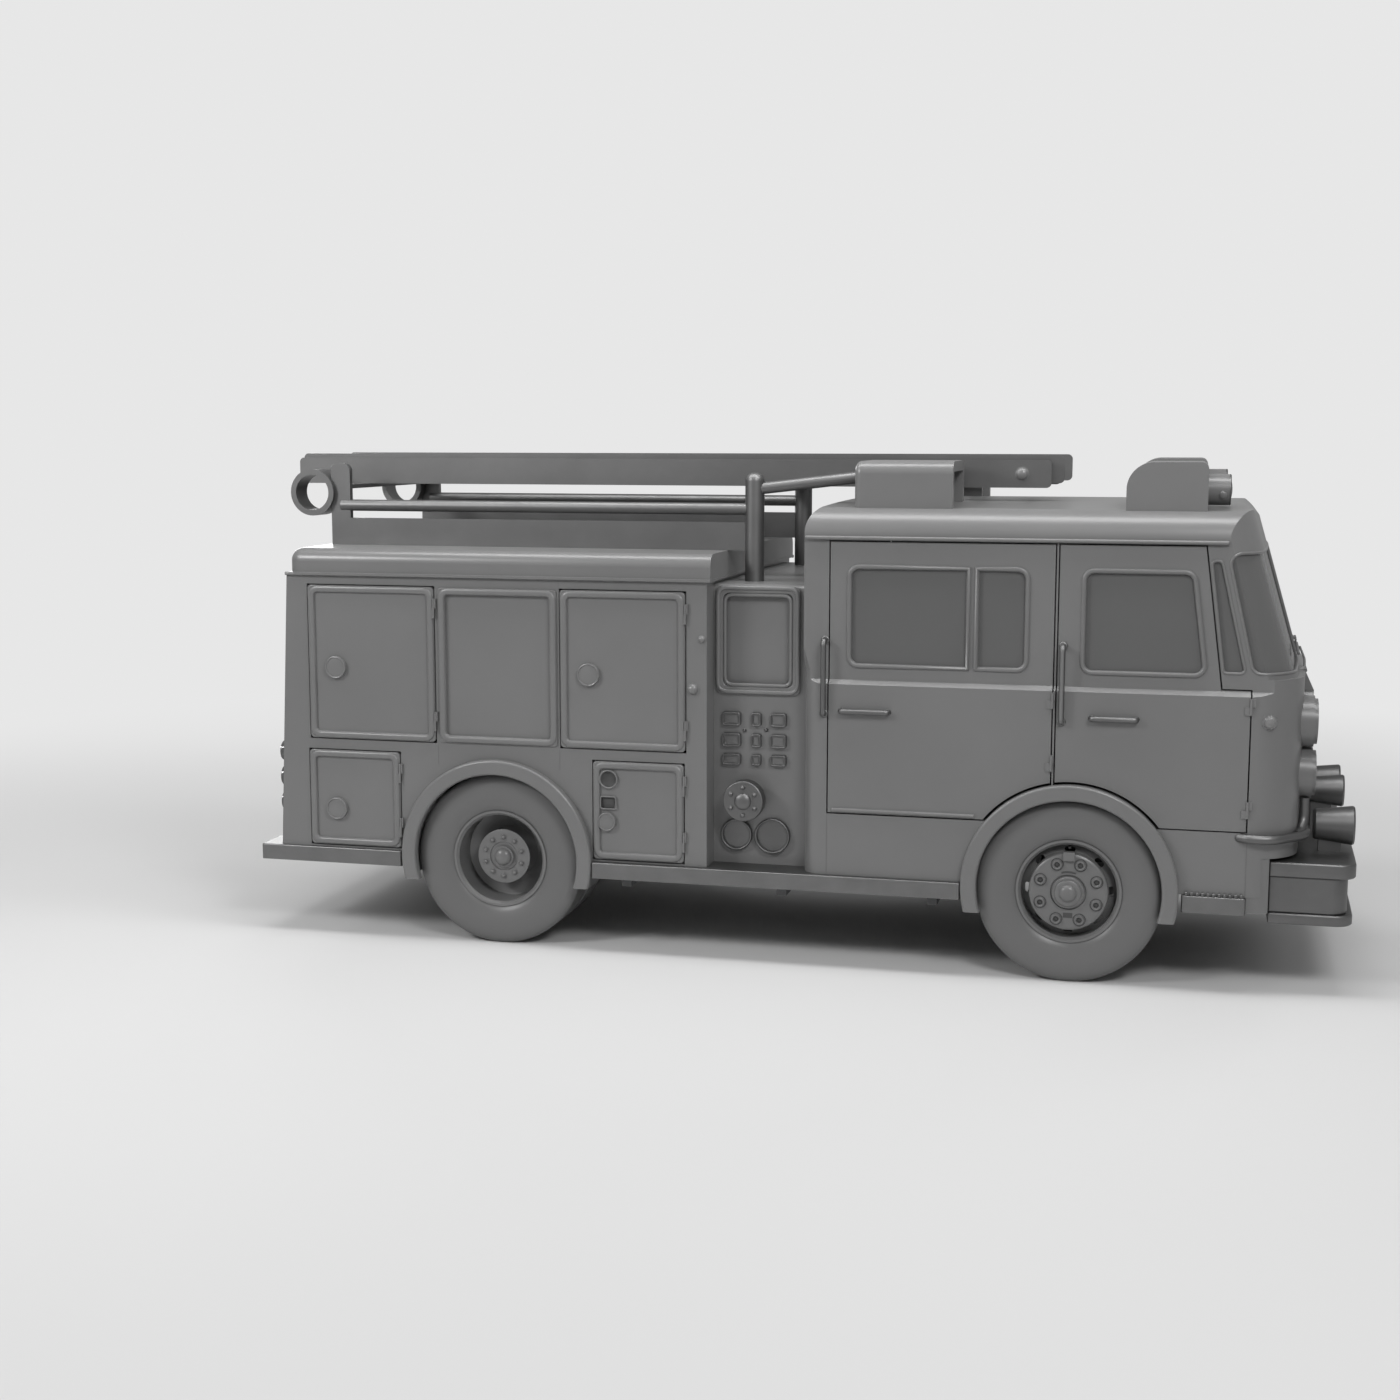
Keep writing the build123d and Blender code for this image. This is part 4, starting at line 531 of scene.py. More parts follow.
def dressFrontHub(hub, axleX):
    # raised disc with ringed lugs and the tab at its top; the dark slots round the cap and the grooves round
    # the lugs are painted shade
    faceY, bossR, firstTurn = hub["faceY"], hub["bossR"], 180 / hub["nuts"]
    top = wheelSpot(axleX, faceY, hub["nutCircle"])
    bossProfile = [(out, bossR + grow) for out, grow in hub["boss"]] + [(0.004, 0.006), (0.008, 0.0)]
    boss = lathe("nutBoss", bossProfile, top, toRight, 28)
    nuts = ringOf("frontNuts", boss, axleX, hub["nuts"], firstTurn)
    disc = lathe("hubDisc", hub["disc"], wheelSpot(axleX, faceY), toRight, 64)
    tab = faceBlock("hubTab", wheelSpot(axleX, faceY, hub["tab"]["reach"]), hub["tab"], hub["tab"]["proud"],
                    0.03, 0.006)
    bothSides(joined("frontHub", [nuts, disc, tab]), "frontHub", "front_wheel_%s", "rimEnamel")
    # slot, arc and lug rings: thin dark pieces of painted shade laid into the slots and grooves
    slot = faceBlock("hubSlot", wheelSpot(axleX, faceY, -hub["slot"]["reach"]), hub["slot"], 0.0006,
                     0.004, 0.0005, 1)
    arc = tube("hubArc", [(axleX + hub["arcR"] * sin(radians(a)), -faceY + 0.001,
                           vehicle["axleZ"] + hub["arcR"] * cos(radians(a))) for a in range(-20, 21, 5)],
               hub["arcThick"])
    hollow = lathe("lugHollow", hub["hollow"], top, toRight, 24)
    foot = lathe("lugFoot", [(out, bossR + grow) for out, grow in hub["bossFoot"]], top, toRight, 32)
    recesses = ringOf("lugRecess", joined("lugRecess", [hollow, foot]), axleX, hub["nuts"], firstTurn)
    bothSides(joined("hubSlotShade", [slot, arc, recesses]), "hubSlotShade", "front_wheel_%s",
              "paintedShade")


def dressRearHub(hub, axleX):
    # deep flange with domed nuts and a domed cap
    nut = dome("rearNut", wheelSpot(axleX, hub["faceY"], hub["nutCircle"]), toRight, hub["nutR"],
               hub["nutHeight"], 20)
    nuts = ringOf("rearNuts", nut, axleX, hub["nuts"], 0)
    flange = lathe("rearFlange", hub["flange"], wheelSpot(axleX, hub["faceY"]), toRight, 48)
    cap = dome("rearCap", wheelSpot(axleX, hub["domeFaceY"]), toRight, hub["domeR"], hub["domeHeight"], 36)
    bothSides(joined("rearHub", [nuts, flange, cap]), "rearHubNuts", "rear_wheels_%s",
              "rimEnamel")


dressFrontHub(frontHub, vehicle["frontAxleX"])
dressRearHub(rearHub, vehicle["rearAxleX"])

valve = {"radius": 0.006, "foot": (1.1, 0.262), "tip": (1.15, 0.252)}
stem = tube("valveStem", [wheelSpot(vehicle["frontAxleX"], *valve[end]) for end in ("foot", "tip")],
            valve["radius"])
bothSides(stem, "valveStem", "front_wheel_%s", "satinSteel")
print("fire engine: wheel nuts")


# ---- window seals that follow the edge of each pane ----
rake = {"from": 1.785, "lean": 0.296}     # the screen leans back above this height
sealShape = {"radius": {"door": 0.0155, "screen": 0.0095}, "sharp": 50, "standOut": 0.011}


def cornerY(x):
    # flank of the cab, turning in round the corner of the nose
    return vehicle["noseY"] + (vehicle["noseR"] ** 2 - max(0.0, x - vehicle["noseX"]) ** 2) ** 0.5


def outwards(spot):
    # level direction out of the cab's skin, round its front corners too
    centreX = vehicle["noseX"] - max(0.0, spot.z - rake["from"]) * rake["lean"]
    across = max(0.0, abs(spot.y) - vehicle["noseY"])
    along = max(0.0, spot.x - centreX)
    if across and along:
        way = Vector((along, across, 0)).normalized()
    else:
        way = Vector((1, 0, 0)) if along else Vector((0, 1, 0))
    return Vector((way.x, way.y if spot.y > 0 else -way.y, 0))


def paneSeal(nodeName, name, body):
    # copies the pane, keeps its sharp rim and thickens the loops that lie outermost
    deselect()
    pane = moved(nodes[nodeName], name, Matrix.Identity(4))
    pane.parent = None
    for key in [k for k in pane.keys() if k.startswith("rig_")]:
        del pane[key]
    pane.select_set(True)
    bpy.context.view_layer.objects.active = pane
    bpy.ops.object.mode_set(mode="EDIT")
    bpy.ops.mesh.select_mode(type="EDGE")
    bpy.ops.mesh.select_all(action="SELECT")
    bpy.ops.mesh.remove_doubles(threshold=0.00005)
    bpy.ops.mesh.select_all(action="DESELECT")
    bpy.ops.mesh.edges_select_sharp(sharpness=radians(sealShape["sharp"]))
    bpy.ops.mesh.duplicate()
    bpy.ops.mesh.select_all(action="INVERT")
    bpy.ops.mesh.delete(type="VERT")
    bpy.ops.mesh.select_all(action="SELECT")
    bpy.ops.mesh.separate(type="LOOSE")
    bpy.ops.object.mode_set(mode="OBJECT")
    loops = list(bpy.context.selected_objects)
    reach = {}
    for loop in loops:
        spots = [v.co for v in loop.data.vertices]
        out = sum(abs(s.y) for s in spots) / len(spots) + sum(s.x for s in spots) / len(spots) * 0.3
        middle = (round(sum(s.x for s in spots) / len(spots), 1), round(sum(s.y for s in spots) / len(spots)))
        reach.setdefault(middle, []).append((out, len(spots), loop))
    kept = []
    for rows in reach.values():
        rows = [r for r in rows if r[1] > 7]
        if rows:
            kept.append(max(rows, key=lambda r: r[0])[2])
    for loop in loops:
        if loop not in kept:
            bpy.data.objects.remove(loop)
    seals = []
    for loop in kept:
        for vertex in loop.data.vertices:
            vertex.co += outwards(vertex.co) * sealShape["standOut"]
        deselect()
        loop.select_set(True)
        bpy.context.view_layer.objects.active = loop
        kind = "door" if "door" in nodeName else "screen"
        seals.append(inflate(loop, sealShape["radius"][kind], 8))
    return dress(joined(name, seals), name, body, "rimEnamel", 50)


for side in ("right", "left"):
    label = side.capitalize()
    paneSeal(f"crew_door_glass_{side}", "crewWindowSeal" + label, f"crew_door_{side}")
    paneSeal(f"front_door_glass_{side}", "frontWindowSeal" + label, f"front_door_{side}")
paneSeal("windscreen", "windscreenSeal", "chassis")
paneSeal("quarter_glass", "quarterSeals", "chassis")
print("fire engine: window seals")


# ---- bolt heads, marker lamps, pins and handles ----
bodyBolts = {"upper": (-0.417, 1.929, 0.022), "lower": (-0.472, 1.631, 0.033)}
for label, (x, z, radius) in bodyBolts.items():
    bothSides(dome("bodyBolt", (x, -vehicle["bodyFlankY"], z), toRight, radius, radius * 0.8),
              label + "BodyBolt", "chassis", "satinEnamel")

markerLamp = {"x": 2.818, "z": 1.55, "radius": 0.04, "height": 0.034}
x, y = markerLamp["x"], cornerY(markerLamp["x"])
bothSides(dome("markerLamp", (x, -y, markerLamp["z"]), (x - vehicle["noseX"], vehicle["noseY"] - y, 0),
               markerLamp["radius"], markerLamp["height"]), "markerLamp", "chassis", "lampGlass", 60)

ladderPins = {"places": (1.366, -3.08), "z": 2.892, "y": 0.4405, "radius": 0.036, "height": 0.022}
for i, x in enumerate(ladderPins["places"]):
    bothSides(dome("ladderPin", (x, -ladderPins["y"], ladderPins["z"]), toRight, ladderPins["radius"],
                   ladderPins["height"]), f"ladderPin{i + 1}", "chassis", "satinEnamel")


def camel(words):
    return "".join(word.capitalize() for word in words.split("_"))


lockerHandles = {
    "faceY": 1.215,
    "rows": {"upper_rear": (-2.757, 1.696, 0.068), "upper_front": (-1.116, 1.699, 0.068),
             "lower_rear": (-2.77, 0.806, 0.068), "lower_front": (-1.006, 0.808, 0.056)},
}
for name, (x, z, radius) in lockerHandles["rows"].items():
    centre = (x, -lockerHandles["faceY"], z)
    rim = ring("handleRim", centre, toRight, radius - 0.004, 0.005)
    face = lathe("handleFace", [(-0.001, radius - 0.01), (0.001, radius - 0.016), (0.002, 0)], centre,
                 toRight, 36)
    bothSides(joined("handle", [rim, face]), "lockerHandle" + camel(name), f"locker_{name}_%s",
              "satinEnamel")


# ---- rolled bead frames of the lockers, panel and pump bay ----
def beadFrame(name, area, y, inset, radius, corner, flatten):
    # round bar along a rounded outline, pressed flatter across the flank
    x0, x1, z0, z1 = area[0] + inset, area[1] - inset, area[2] + inset, area[3] - inset
    outline = rounded([(x0, 0, z0), (x1, 0, z0), (x1, 0, z1), (x0, 0, z1)], corner, 6, True)
    piece = tube(name, outline, radius, True, 16)
    for vertex in piece.data.vertices:
        vertex.co.y = -y + vertex.co.y * flatten
    return piece


beads = {
    "flankY": 1.2045,
    "inset": 0.0235,
    "radius": 0.0205,
    "corner": 0.05,
    "flatten": 0.5,
    "doors": {"upper_rear": (-2.937, -2.104, 1.25, 2.206), "upper_front": (-1.296, -0.518, 1.25, 2.206),
              "lower_rear": (-2.95, -2.345, 0.574, 1.176), "lower_front": (-1.094, -0.528, 0.574, 1.176)},
    "panel": (-2.078, -1.316, 1.25, 2.206),
    "pumpWindow": (-0.372, 0.142, 1.59, 2.24),
    "pumpRims": ((1.036, 0.014, 0.0135, 0.06, 0.9), (1.032, 0.056, 0.0105, 0.05, 0.9)),
}
flankShape = [beads[key] for key in ("flankY", "inset", "radius", "corner", "flatten")]
for name, area in beads["doors"].items():
    bothSides(beadFrame("bead", area, *flankShape), "lockerBead" + camel(name), f"locker_{name}_%s",
              "satinEnamel", 60)
bothSides(beadFrame("bead", beads["panel"], *flankShape), "panelBead", "chassis",
          "satinEnamel", 60)
pumpRims = [beadFrame("pumpBead", beads["pumpWindow"], *rimShape) for rimShape in beads["pumpRims"]]
bothSides(joined("pumpBeads", pumpRims), "pumpWindowBeads", "chassis", "satinEnamel", 60)

# socket and stowage slot in the front lower door
sockets = {"round": (-0.996, 1.068, 0.05), "slot": (-1.046, -0.956, 0.886, 0.962), "faceY": 1.2045,
           "lipY": 1.205}
x, z, radius = sockets["round"]
centre = (x, -sockets["faceY"], z)
# the socket cup and slot tray are painted shade: dark linings that darken the hollows
hollow = [(-0.004, radius - 0.0005), (-0.012, radius - 0.006), (-0.018, radius * 0.6), (-0.02, 0)]
cup = lathe("socketCup", hollow, centre, toRight, 32)
x0, x1, z0, z1 = sockets["slot"]
tray = block("slotTray", (x0 + 0.001, -sockets["faceY"] + 0.014, z0 + 0.001),
             (x1 - 0.001, -sockets["faceY"] + 0.024, z1 - 0.001), 0.003)
bothSides(joined("socketShade", [cup, tray]), "socketShades", "locker_lower_front_%s",
          "paintedShade")
rim = ring("socketRim", centre, toRight, radius + 0.004, 0.006)
y = -sockets["lipY"]
outline = [(x0, y, z0), (x1 + 0.012, y, z0), (x1 + 0.004, y, z1), (x0, y, z1)]
lip = tube("slotLip", rounded(outline, 0.014, 4, True), 0.0045, True, 8)
bothSides(joined("socketRims", [rim, lip]), "socketRims", "locker_lower_front_%s",
          "satinEnamel", 60)
print("fire engine: bolts, pins and handles")


# ---- cab trim: grip feet, drip bead, seams, wipers, screen post ----
gripShape = {
    "barR": 0.0165,
    "outY": 1.2325,
    "bend": 0.03,
    "footR": {"handle": 0.0185, "rail": 0.0255},
    "rows": (("crew_door_%s", (0.421, 1.2, 1.535), (0.694, 1.2, 1.535)),
             ("front_door_%s", (1.849, 1.2, 1.543), (2.096, 1.2, 1.543)),
             ("front_door_%s", (1.682, 1.2, 1.516), (1.682, 1.17, 1.944)),
             ("chassis", (0.318, 1.2, 1.516), (0.318, 1.17, 1.944))),
}
g = gripShape
for i, (body, start, end) in enumerate(g["rows"]):
    run = [(start[0], -start[1] + 0.002, start[2]), (start[0], -g["outY"], start[2]),
           (end[0], -g["outY"], end[2]), (end[0], -end[1] + 0.002, end[2])]
    parts = [tube("gripBar", rounded(run, g["bend"]), g["barR"], False, 14)]
    r = g["footR"]["handle" if abs(start[2] - end[2]) < 0.1 else "rail"]
    foot = [(-0.002, r), (0.004, r), (0.009, r - 0.006), (0.009, g["barR"] - 0.003)]
    for x, y, z in (start, end):
        parts.append(lathe("gripFoot", foot, (x, -y, z), toRight, 28))
    bothSides(joined("grip", parts), f"grip{i + 1}", body, "satinSteel", 60,
              "grab_rails" if body == "chassis" else None)

levelBeads = {      # body, start and end, distance out, height, radius, sides, smoothing
    "dripBead": ("crew_door_%s", 0.372, 1.2, 1.203, 0.948, 0.013, 10, 50),
    "roofGutter": ("chassis", 0.2, 2.562, 1.187, 2.5375, 0.0115, 14, 60),
    "bodyRoofBead": ("chassis", -3.08, -0.36, 1.205, 2.273, 0.0105, 14, 60),
}
for name, (body, start, end, y, z, radius, steps, smooth) in levelBeads.items():
    bothSides(tube("bead", [(start, -y, z), (end, -y, z)], radius, False, steps), name, body,
              "satinEnamel", smooth)

seams = {
    "half": 0.002,
    "proud": 0.0008,
    "rows": ((-1.305, 1.195, 1.11, 1.24), (-1.305, 1.195, 2.21, 2.266), (2.718, 1.1998, 0.562, 0.92),
             (0.34, 1.2, 0.562, 0.92), (-2.09, 1.195, 1.11, 1.24)),
}
strips = []
for x, y, low, high in seams["rows"]:
    strips.append(block("seam", (x - seams["half"], -y - seams["proud"], low),
                        (x + seams["half"], -y + 0.002, high)))
bothSides(joined("seams", strips), "panelSeams", "chassis", "sealRubber")


def screenPoint(y, z, out=0.0):
    # a spot on the raked and bowed screen
    bow = 0.036 * (y / vehicle["noseY"]) ** 2
    return (3.006 - bow - (z - rake["from"]) * rake["lean"] + out, y, z)


wiper = {"pivotY": 0.62, "pivotZ": 1.79, "tipY": 0.14, "tipZ": 1.885, "armRadius": 0.007,
         "bladeRadius": 0.009}
w = wiper
for way, label in ((-1, "Right"), (1, "Left")):
    pivot = screenPoint(way * w["pivotY"], w["pivotZ"], 0.03)
    knee = screenPoint(way * (w["pivotY"] - 0.08), w["pivotZ"] + 0.05, 0.042)
    tip = screenPoint(way * (w["tipY"] + 0.18), w["tipZ"], 0.03)
    arm = tube("wiperArm", rounded([pivot, knee, tip], 0.03), w["armRadius"])
    sweep = [screenPoint(way * (w["tipY"] + 0.42 * t), w["tipZ"] - 0.02 * t + 0.005, 0.016)
             for t in (0, 0.25, 0.5, 0.75, 1)]
    blade = tube("wiperBlade", sweep, w["bladeRadius"])
    cap = lathe("wiperCap", [(-0.03, 0.02), (0.006, 0.02), (0.012, 0.014), (0.012, 0)], pivot,
                (1, 0, 0.3), 24)
    dress(joined("wiper", [arm, blade, cap]), "wiper" + label, "chassis", "sealRubber", 50)

doorSeal = {"low": (2.545, 1.109, 1.79), "high": (2.452, 1.109, 2.47), "radius": 0.0125}
ends = [(x, -y, z) for x, y, z in (doorSeal["low"], doorSeal["high"])]
bothSides(tube("doorSeal", ends, doorSeal["radius"]), "doorSeal", "chassis", "sealRubber", 50)

screenPost = {"low": 1.822, "high": 2.473, "radius": 0.011}
ends = [screenPoint(0, screenPost[end], -0.004) for end in ("low", "high")]
dress(tube("screenPost", ends, screenPost["radius"]), "screenPost", "chassis",
      "sealRubber", 50)
print("fire engine: cab trim")


# ---- nose: corner panels, guard tubes, bumper and step teeth ----
cornerPanel = {"x": (2.7245, 2.8445), "z": (0.468, 0.7785), "thick": 0.03, "setIn": 0.004}
c, flankY = cornerPanel, vehicle["cabFlankY"]
panel = block("cornerPanel", (c["x"][0], -flankY, c["z"][0]), (c["x"][1], -flankY + c["thick"], c["z"][1]))
bpy.ops.object.mode_set(mode="EDIT")
bpy.ops.mesh.select_all(action="SELECT")
bpy.ops.mesh.subdivide(number_cuts=7)
bpy.ops.object.mode_set(mode="OBJECT")
for vertex in panel.data.vertices:
    vertex.co.y += flankY - cornerY(vertex.co.x) + c["setIn"]
bothSides(panel, "cornerPanel", "chassis", "satinEnamel")

guardShape = {"radius": 0.027, "z": 0.898, "outY": 1.222, "frontX": 3.046, "riserTop": 1.094, "riserY": 0.93}
g = guardShape
route = rounded([(2.672, -1.186, g["z"]), (2.725, -g["outY"], g["z"]), (2.85, -g["outY"], g["z"]),
                 (g["frontX"], -1.03, g["z"]), (g["frontX"], -0.7, g["z"])], 0.1, 6)
rail = tube("guardRail", route, g["radius"], False, 18)
quarter = [(g["radius"] * cos(radians(a)), g["radius"] * sin(radians(a))) for a in range(0, 91, 15)]
ball = lathe("guardEnd", quarter, (2.675, -1.188, g["z"]), (-1, 0.6, 0), 24)
route = rounded([(2.985, -1.06, g["z"] + 0.004), (3.012, -0.985, g["z"] + 0.012),
                 (3.03, -g["riserY"], g["z"] + 0.07), (3.03, -g["riserY"], g["riserTop"])], 0.06)
riser = tube("guardRiser", route, g["radius"], False, 18)
bothSides(joined("guard", [rail, ball, riser]), "guardTube", "chassis", "satinSteel", 60,
          "guard_tubes")

bumperShape = {
    "rearX": 2.845, "frontX": 3.33, "bow": 0.014, "halfY": 1.15, "cornerR": 0.1,
    "deck": (0.676, 0.761, 0.0), "middle": (0.47, 0.68, 0.04), "shelf": (0.407, 0.47, 0.01),
    "edge": 0.012,
}


def bumperTier(name, low, high, inset):
    # half outline of one tier, mirrored across and drawn up to its height
    b = bumperShape
    front, half = b["frontX"] - inset, b["halfY"] - inset * 0.35
    r = b["cornerR"]
    spots = [(b["rearX"], -half, low)]
    for k in range(9):
        turn = radians(90 * k / 8)
        spots.append((front - b["bow"] - r + r * sin(turn), -half + r - r * cos(turn), low))
    reach = half - r
    for k in range(1, 12):
        y = -reach + 2 * reach * k / 12
        spots.append((front - b["bow"] * (y / reach) ** 2, y, low))
    for k in range(8, -1, -1):
        turn = radians(90 * k / 8)
        spots.append((front - b["bow"] - r + r * sin(turn), half - r + r * cos(turn), low))
    spots.append((b["rearX"], half, low))
    piece = drawPath(name, spots + [spots[0]])
    bpy.ops.mesh.select_all(action="SELECT")
    bpy.ops.mesh.remove_doubles(threshold=0.00002)
    bpy.ops.mesh.select_all(action="SELECT")
    bpy.ops.mesh.edge_face_add()
    bpy.ops.mesh.extrude_region_move(TRANSFORM_OT_translate={"value": (0, 0, high - low)})
    bpy.ops.mesh.select_all(action="SELECT")
    bpy.ops.mesh.normals_make_consistent(inside=False)
    bpy.ops.object.mode_set(mode="OBJECT")
    soft = piece.modifiers.new("edge", "BEVEL")
    soft.width = b["edge"]
    soft.segments = 4
    soft.limit_method = "ANGLE"
    soft.angle_limit = radians(50)
    bpy.ops.object.modifier_apply(modifier=soft.name)
    return piece


tiers = [bumperTier("bumper" + camel(name), *bumperShape[name]) for name in ("deck", "middle", "shelf")]
bumper = dress(joined("bumper", tiers), "roundedBumper", "chassis", "satinSteel", 40)
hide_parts("front_bumper")

stepTeeth = {"start": 2.39, "end": 2.705, "pitch": 0.03, "width": 0.017, "y": (1.2035, 1.2265),
             "z": (0.556, 0.577)}
teeth = []
x, (near, far), (low, high) = stepTeeth["start"], stepTeeth["y"], stepTeeth["z"]
while x < stepTeeth["end"]:
    teeth.append(block("tooth", (x, -far, low), (x + stepTeeth["width"], -near, high), 0.003, 1))
    x += stepTeeth["pitch"]
bothSides(joined("teeth", teeth), "stepTeeth", "chassis", "satinSteel")
print("fire engine: nose")


# ---- lamps ----
def lensProfile(radius, bulge, back, rings):
    # bulged face of a lens, from its back edge to its middle
    shares = [k / rings for k in range(rings, -1, -1)]
    return [(-back, radius)] + [(bulge * (1 - share ** 2), radius * share) for share in shares]


def tailX(z):
    # the rear face leans forward a little
    return -3.157 + (z - 0.5583) * 0.0468


headlamp = {"x": 3.07, "y": 0.85, "heights": (1.521, 1.226), "lensR": 0.11, "bulge": 0.014, "bezelR": 0.118}
h = headlamp
for i, z in enumerate(h["heights"]):
    lens = lathe("lens", lensProfile(h["lensR"], h["bulge"], 0.003, 6), (h["x"], -h["y"], z), (1, 0, 0), 40)
    bothSides(lens, f"headlampLens{i + 1}", "chassis", "lampGlass", 60)
    bothSides(ring("bezel", (h["x"] + 0.009, -h["y"], z), (1, 0, 0), h["bezelR"], 0.0075),
              f"headlampBezel{i + 1}", "chassis", "satinSteel", 60)

roofLamp = {"x": 2.563, "y": 0.805, "z": 2.818, "lensR": 0.074, "bulge": 0.014, "bezelR": 0.081}
r = roofLamp
centre = (r["x"], -r["y"], r["z"])
bothSides(lathe("roofLens", lensProfile(r["lensR"], r["bulge"], 0.001, 5), centre, (1, 0, 0), 36),
          "roofLampLens", "chassis", "lampGlass", 60)
bothSides(ring("roofBezel", centre, (1, 0, 0), r["bezelR"], 0.007), "roofLampBezel", "chassis",
          "satinSteel", 60)
vent = dome("roofLampVent", (2.525, -r["y"] - 0.078, 2.79), (0, -0.95, -0.3), 0.023, 0.01)
bothSides(vent, "roofLampVent", "chassis", "satinEnamel")

tailLamp = {"y": 1.085, "heights": (0.82, 0.98, 1.14), "radius": 0.062}
for i, z in enumerate(tailLamp["heights"]):
    centre = (tailX(z) - 0.002, -tailLamp["y"], z)
    bothSides(ring("tailRing", centre, (-1, 0, 0.05), tailLamp["radius"] + 0.004, 0.0065),
              f"tailLampRing{i + 1}", "chassis", "satinSteel", 60)
print("fire engine: lamps")


# ---- pump bay: cap nuts, knobs and gauge glasses ----
pump = {
    "faceY": 1.0223,
    "cap": (-0.172, 0.965),
    "capFaceY": 1.1723,
    "capNuts": 6,
    "capCircle": 0.083,
    "capDome": (0.052, 0.024),
    "capNut": (0.0135, 0.013),
    "gaugeX": ((-0.274, 0.116), (-0.122, 0.062), (0.012, 0.1)),
    "gaugeZ": ((1.44, 0.084), (1.312, 0.084), (1.194, 0.07)),
    "gaugeEdge": 0.0145,
    "gaugeRims": ((0.0085, 0.0215, 0.0052), (-0.002, 0.018, 0.0024)),   # wider than the dial, out, radius
    "knobs": ((-0.196, 1.37), (-0.062, 1.378)),
    "outlets": ((-0.24, 0.736, 0.096), (-0.02, 0.736, 0.108)),
}
x, z = pump["cap"]
parts = [dome("capDome", (x, -pump["capFaceY"], z), toRight, *pump["capDome"], 36)]
for k in range(pump["capNuts"]):
    turn = 2 * pi * k / pump["capNuts"] + pi / 2
    spot = (x + pump["capCircle"] * cos(turn), -pump["capFaceY"], z + pump["capCircle"] * sin(turn))
    parts.append(dome("capNut", spot, toRight, *pump["capNut"], 18))
bothSides(joined("capNuts", parts), "suctionCapNuts", "chassis", "satinSteel")

dials, bezels = [], []
for x, width in pump["gaugeX"]:
    for z, height in pump["gaugeZ"]:
        half, tall = width / 2 - pump["gaugeEdge"], height / 2 - pump["gaugeEdge"]
        y = -pump["faceY"] - 0.0158
        dials.append(block("dial", (x - half, y - 0.003, z - tall), (x + half, y + 0.001, z + tall),
                           0.0014, 2))
        for grow, out, thick in pump["gaugeRims"]:
            a, b, y = half + grow, tall + grow, -pump["faceY"] - out
            edge = [(x - a, y, z - b), (x + a, y, z - b), (x + a, y, z + b), (x - a, y, z + b)]
            bezels.append(tube("bezel", rounded(edge, 0.012, 3, True), thick, True, 8))
for x, z in pump["knobs"]:
    bezels.append(dome("pumpKnob", (x, -pump["faceY"], z), toRight, 0.0105, 0.016, 16))
for x, z, radius in pump["outlets"]:
    bezels.append(ring("outletRim", (x, -pump["faceY"] - 0.025, z), toRight, radius - 0.007, 0.0075, 48))
bothSides(joined("dials", dials), "gaugeDials", "chassis", "sealRubber")
bothSides(joined("bezels", bezels), "gaugeBezels", "chassis", "satinSteel", 60)
print("fire engine: pump bay")


# ---- tail: grab rails and panel handle ----
tail = {"railY": 0.96, "low": 1.36, "high": 2.14, "out": 0.055, "radius": 0.014, "panelZ": 1.06,
        "handleHalf": 0.14, "handleR": 0.011}
y, low, high, out = -tail["railY"], tail["low"], tail["high"], tail["out"]
run = [(tailX(low) + 0.01, y, low), (tailX(low) - out, y, low), (tailX(high) - out, y, high),
       (tailX(high) + 0.01, y, high)]
rail = tube("tailRail", rounded(run, 0.035), tail["radius"])
feet = [lathe("tailFoot", [(-0.002, 0.024), (0.004, 0.024), (0.008, 0.019), (0.008, 0.013)],
              (tailX(z), y, z), (-1, 0, 0.047), 24) for z in (low, high)]
bothSides(joined("tailRail", [rail] + feet), "tailGrabRail", "chassis", "satinSteel", 50)
x, half, z = tailX(tail["panelZ"]) + 0.012, tail["handleHalf"], tail["panelZ"]
run = [(x, -half, z), (x - out, -half, z), (x - out, half, z), (x, half, z)]
handle = tube("panelHandle", rounded(run, 0.03), tail["handleR"])
dress(handle, "tailPanelHandle", "chassis", "satinSteel", 50)
print("fire engine: tail")


# ---- seats: crowned foam cushions with sewn channels ----
cushions = {
    "rows": (("driverSeat", (1.882, 0.495, 1.33), (2.335, 0.975, 1.45), "z", 3),
             ("driverBack", (1.764, 0.495, 1.34), (1.878, 0.975, 2.015), "x", 3),
             ("officerSeat", (1.882, -0.975, 1.33), (2.335, -0.495, 1.45), "z", 3),
             ("officerBack", (1.764, -0.975, 1.34), (1.878, -0.495, 2.015), "x", 3),
             ("benchSeat", (0.374, -0.975, 1.33), (0.806, 0.975, 1.45), "z", 12),
             ("benchBack", (0.254, -0.975, 1.34), (0.368, 0.975, 1.995), "x", 12)),
    "cuts": 18,
    "crown": 0.22,      # share of the thickness by which the edges fall away
    "pinch": 0.05,      # how far the sides pull in between the corners
    "channel": 0.006,
}


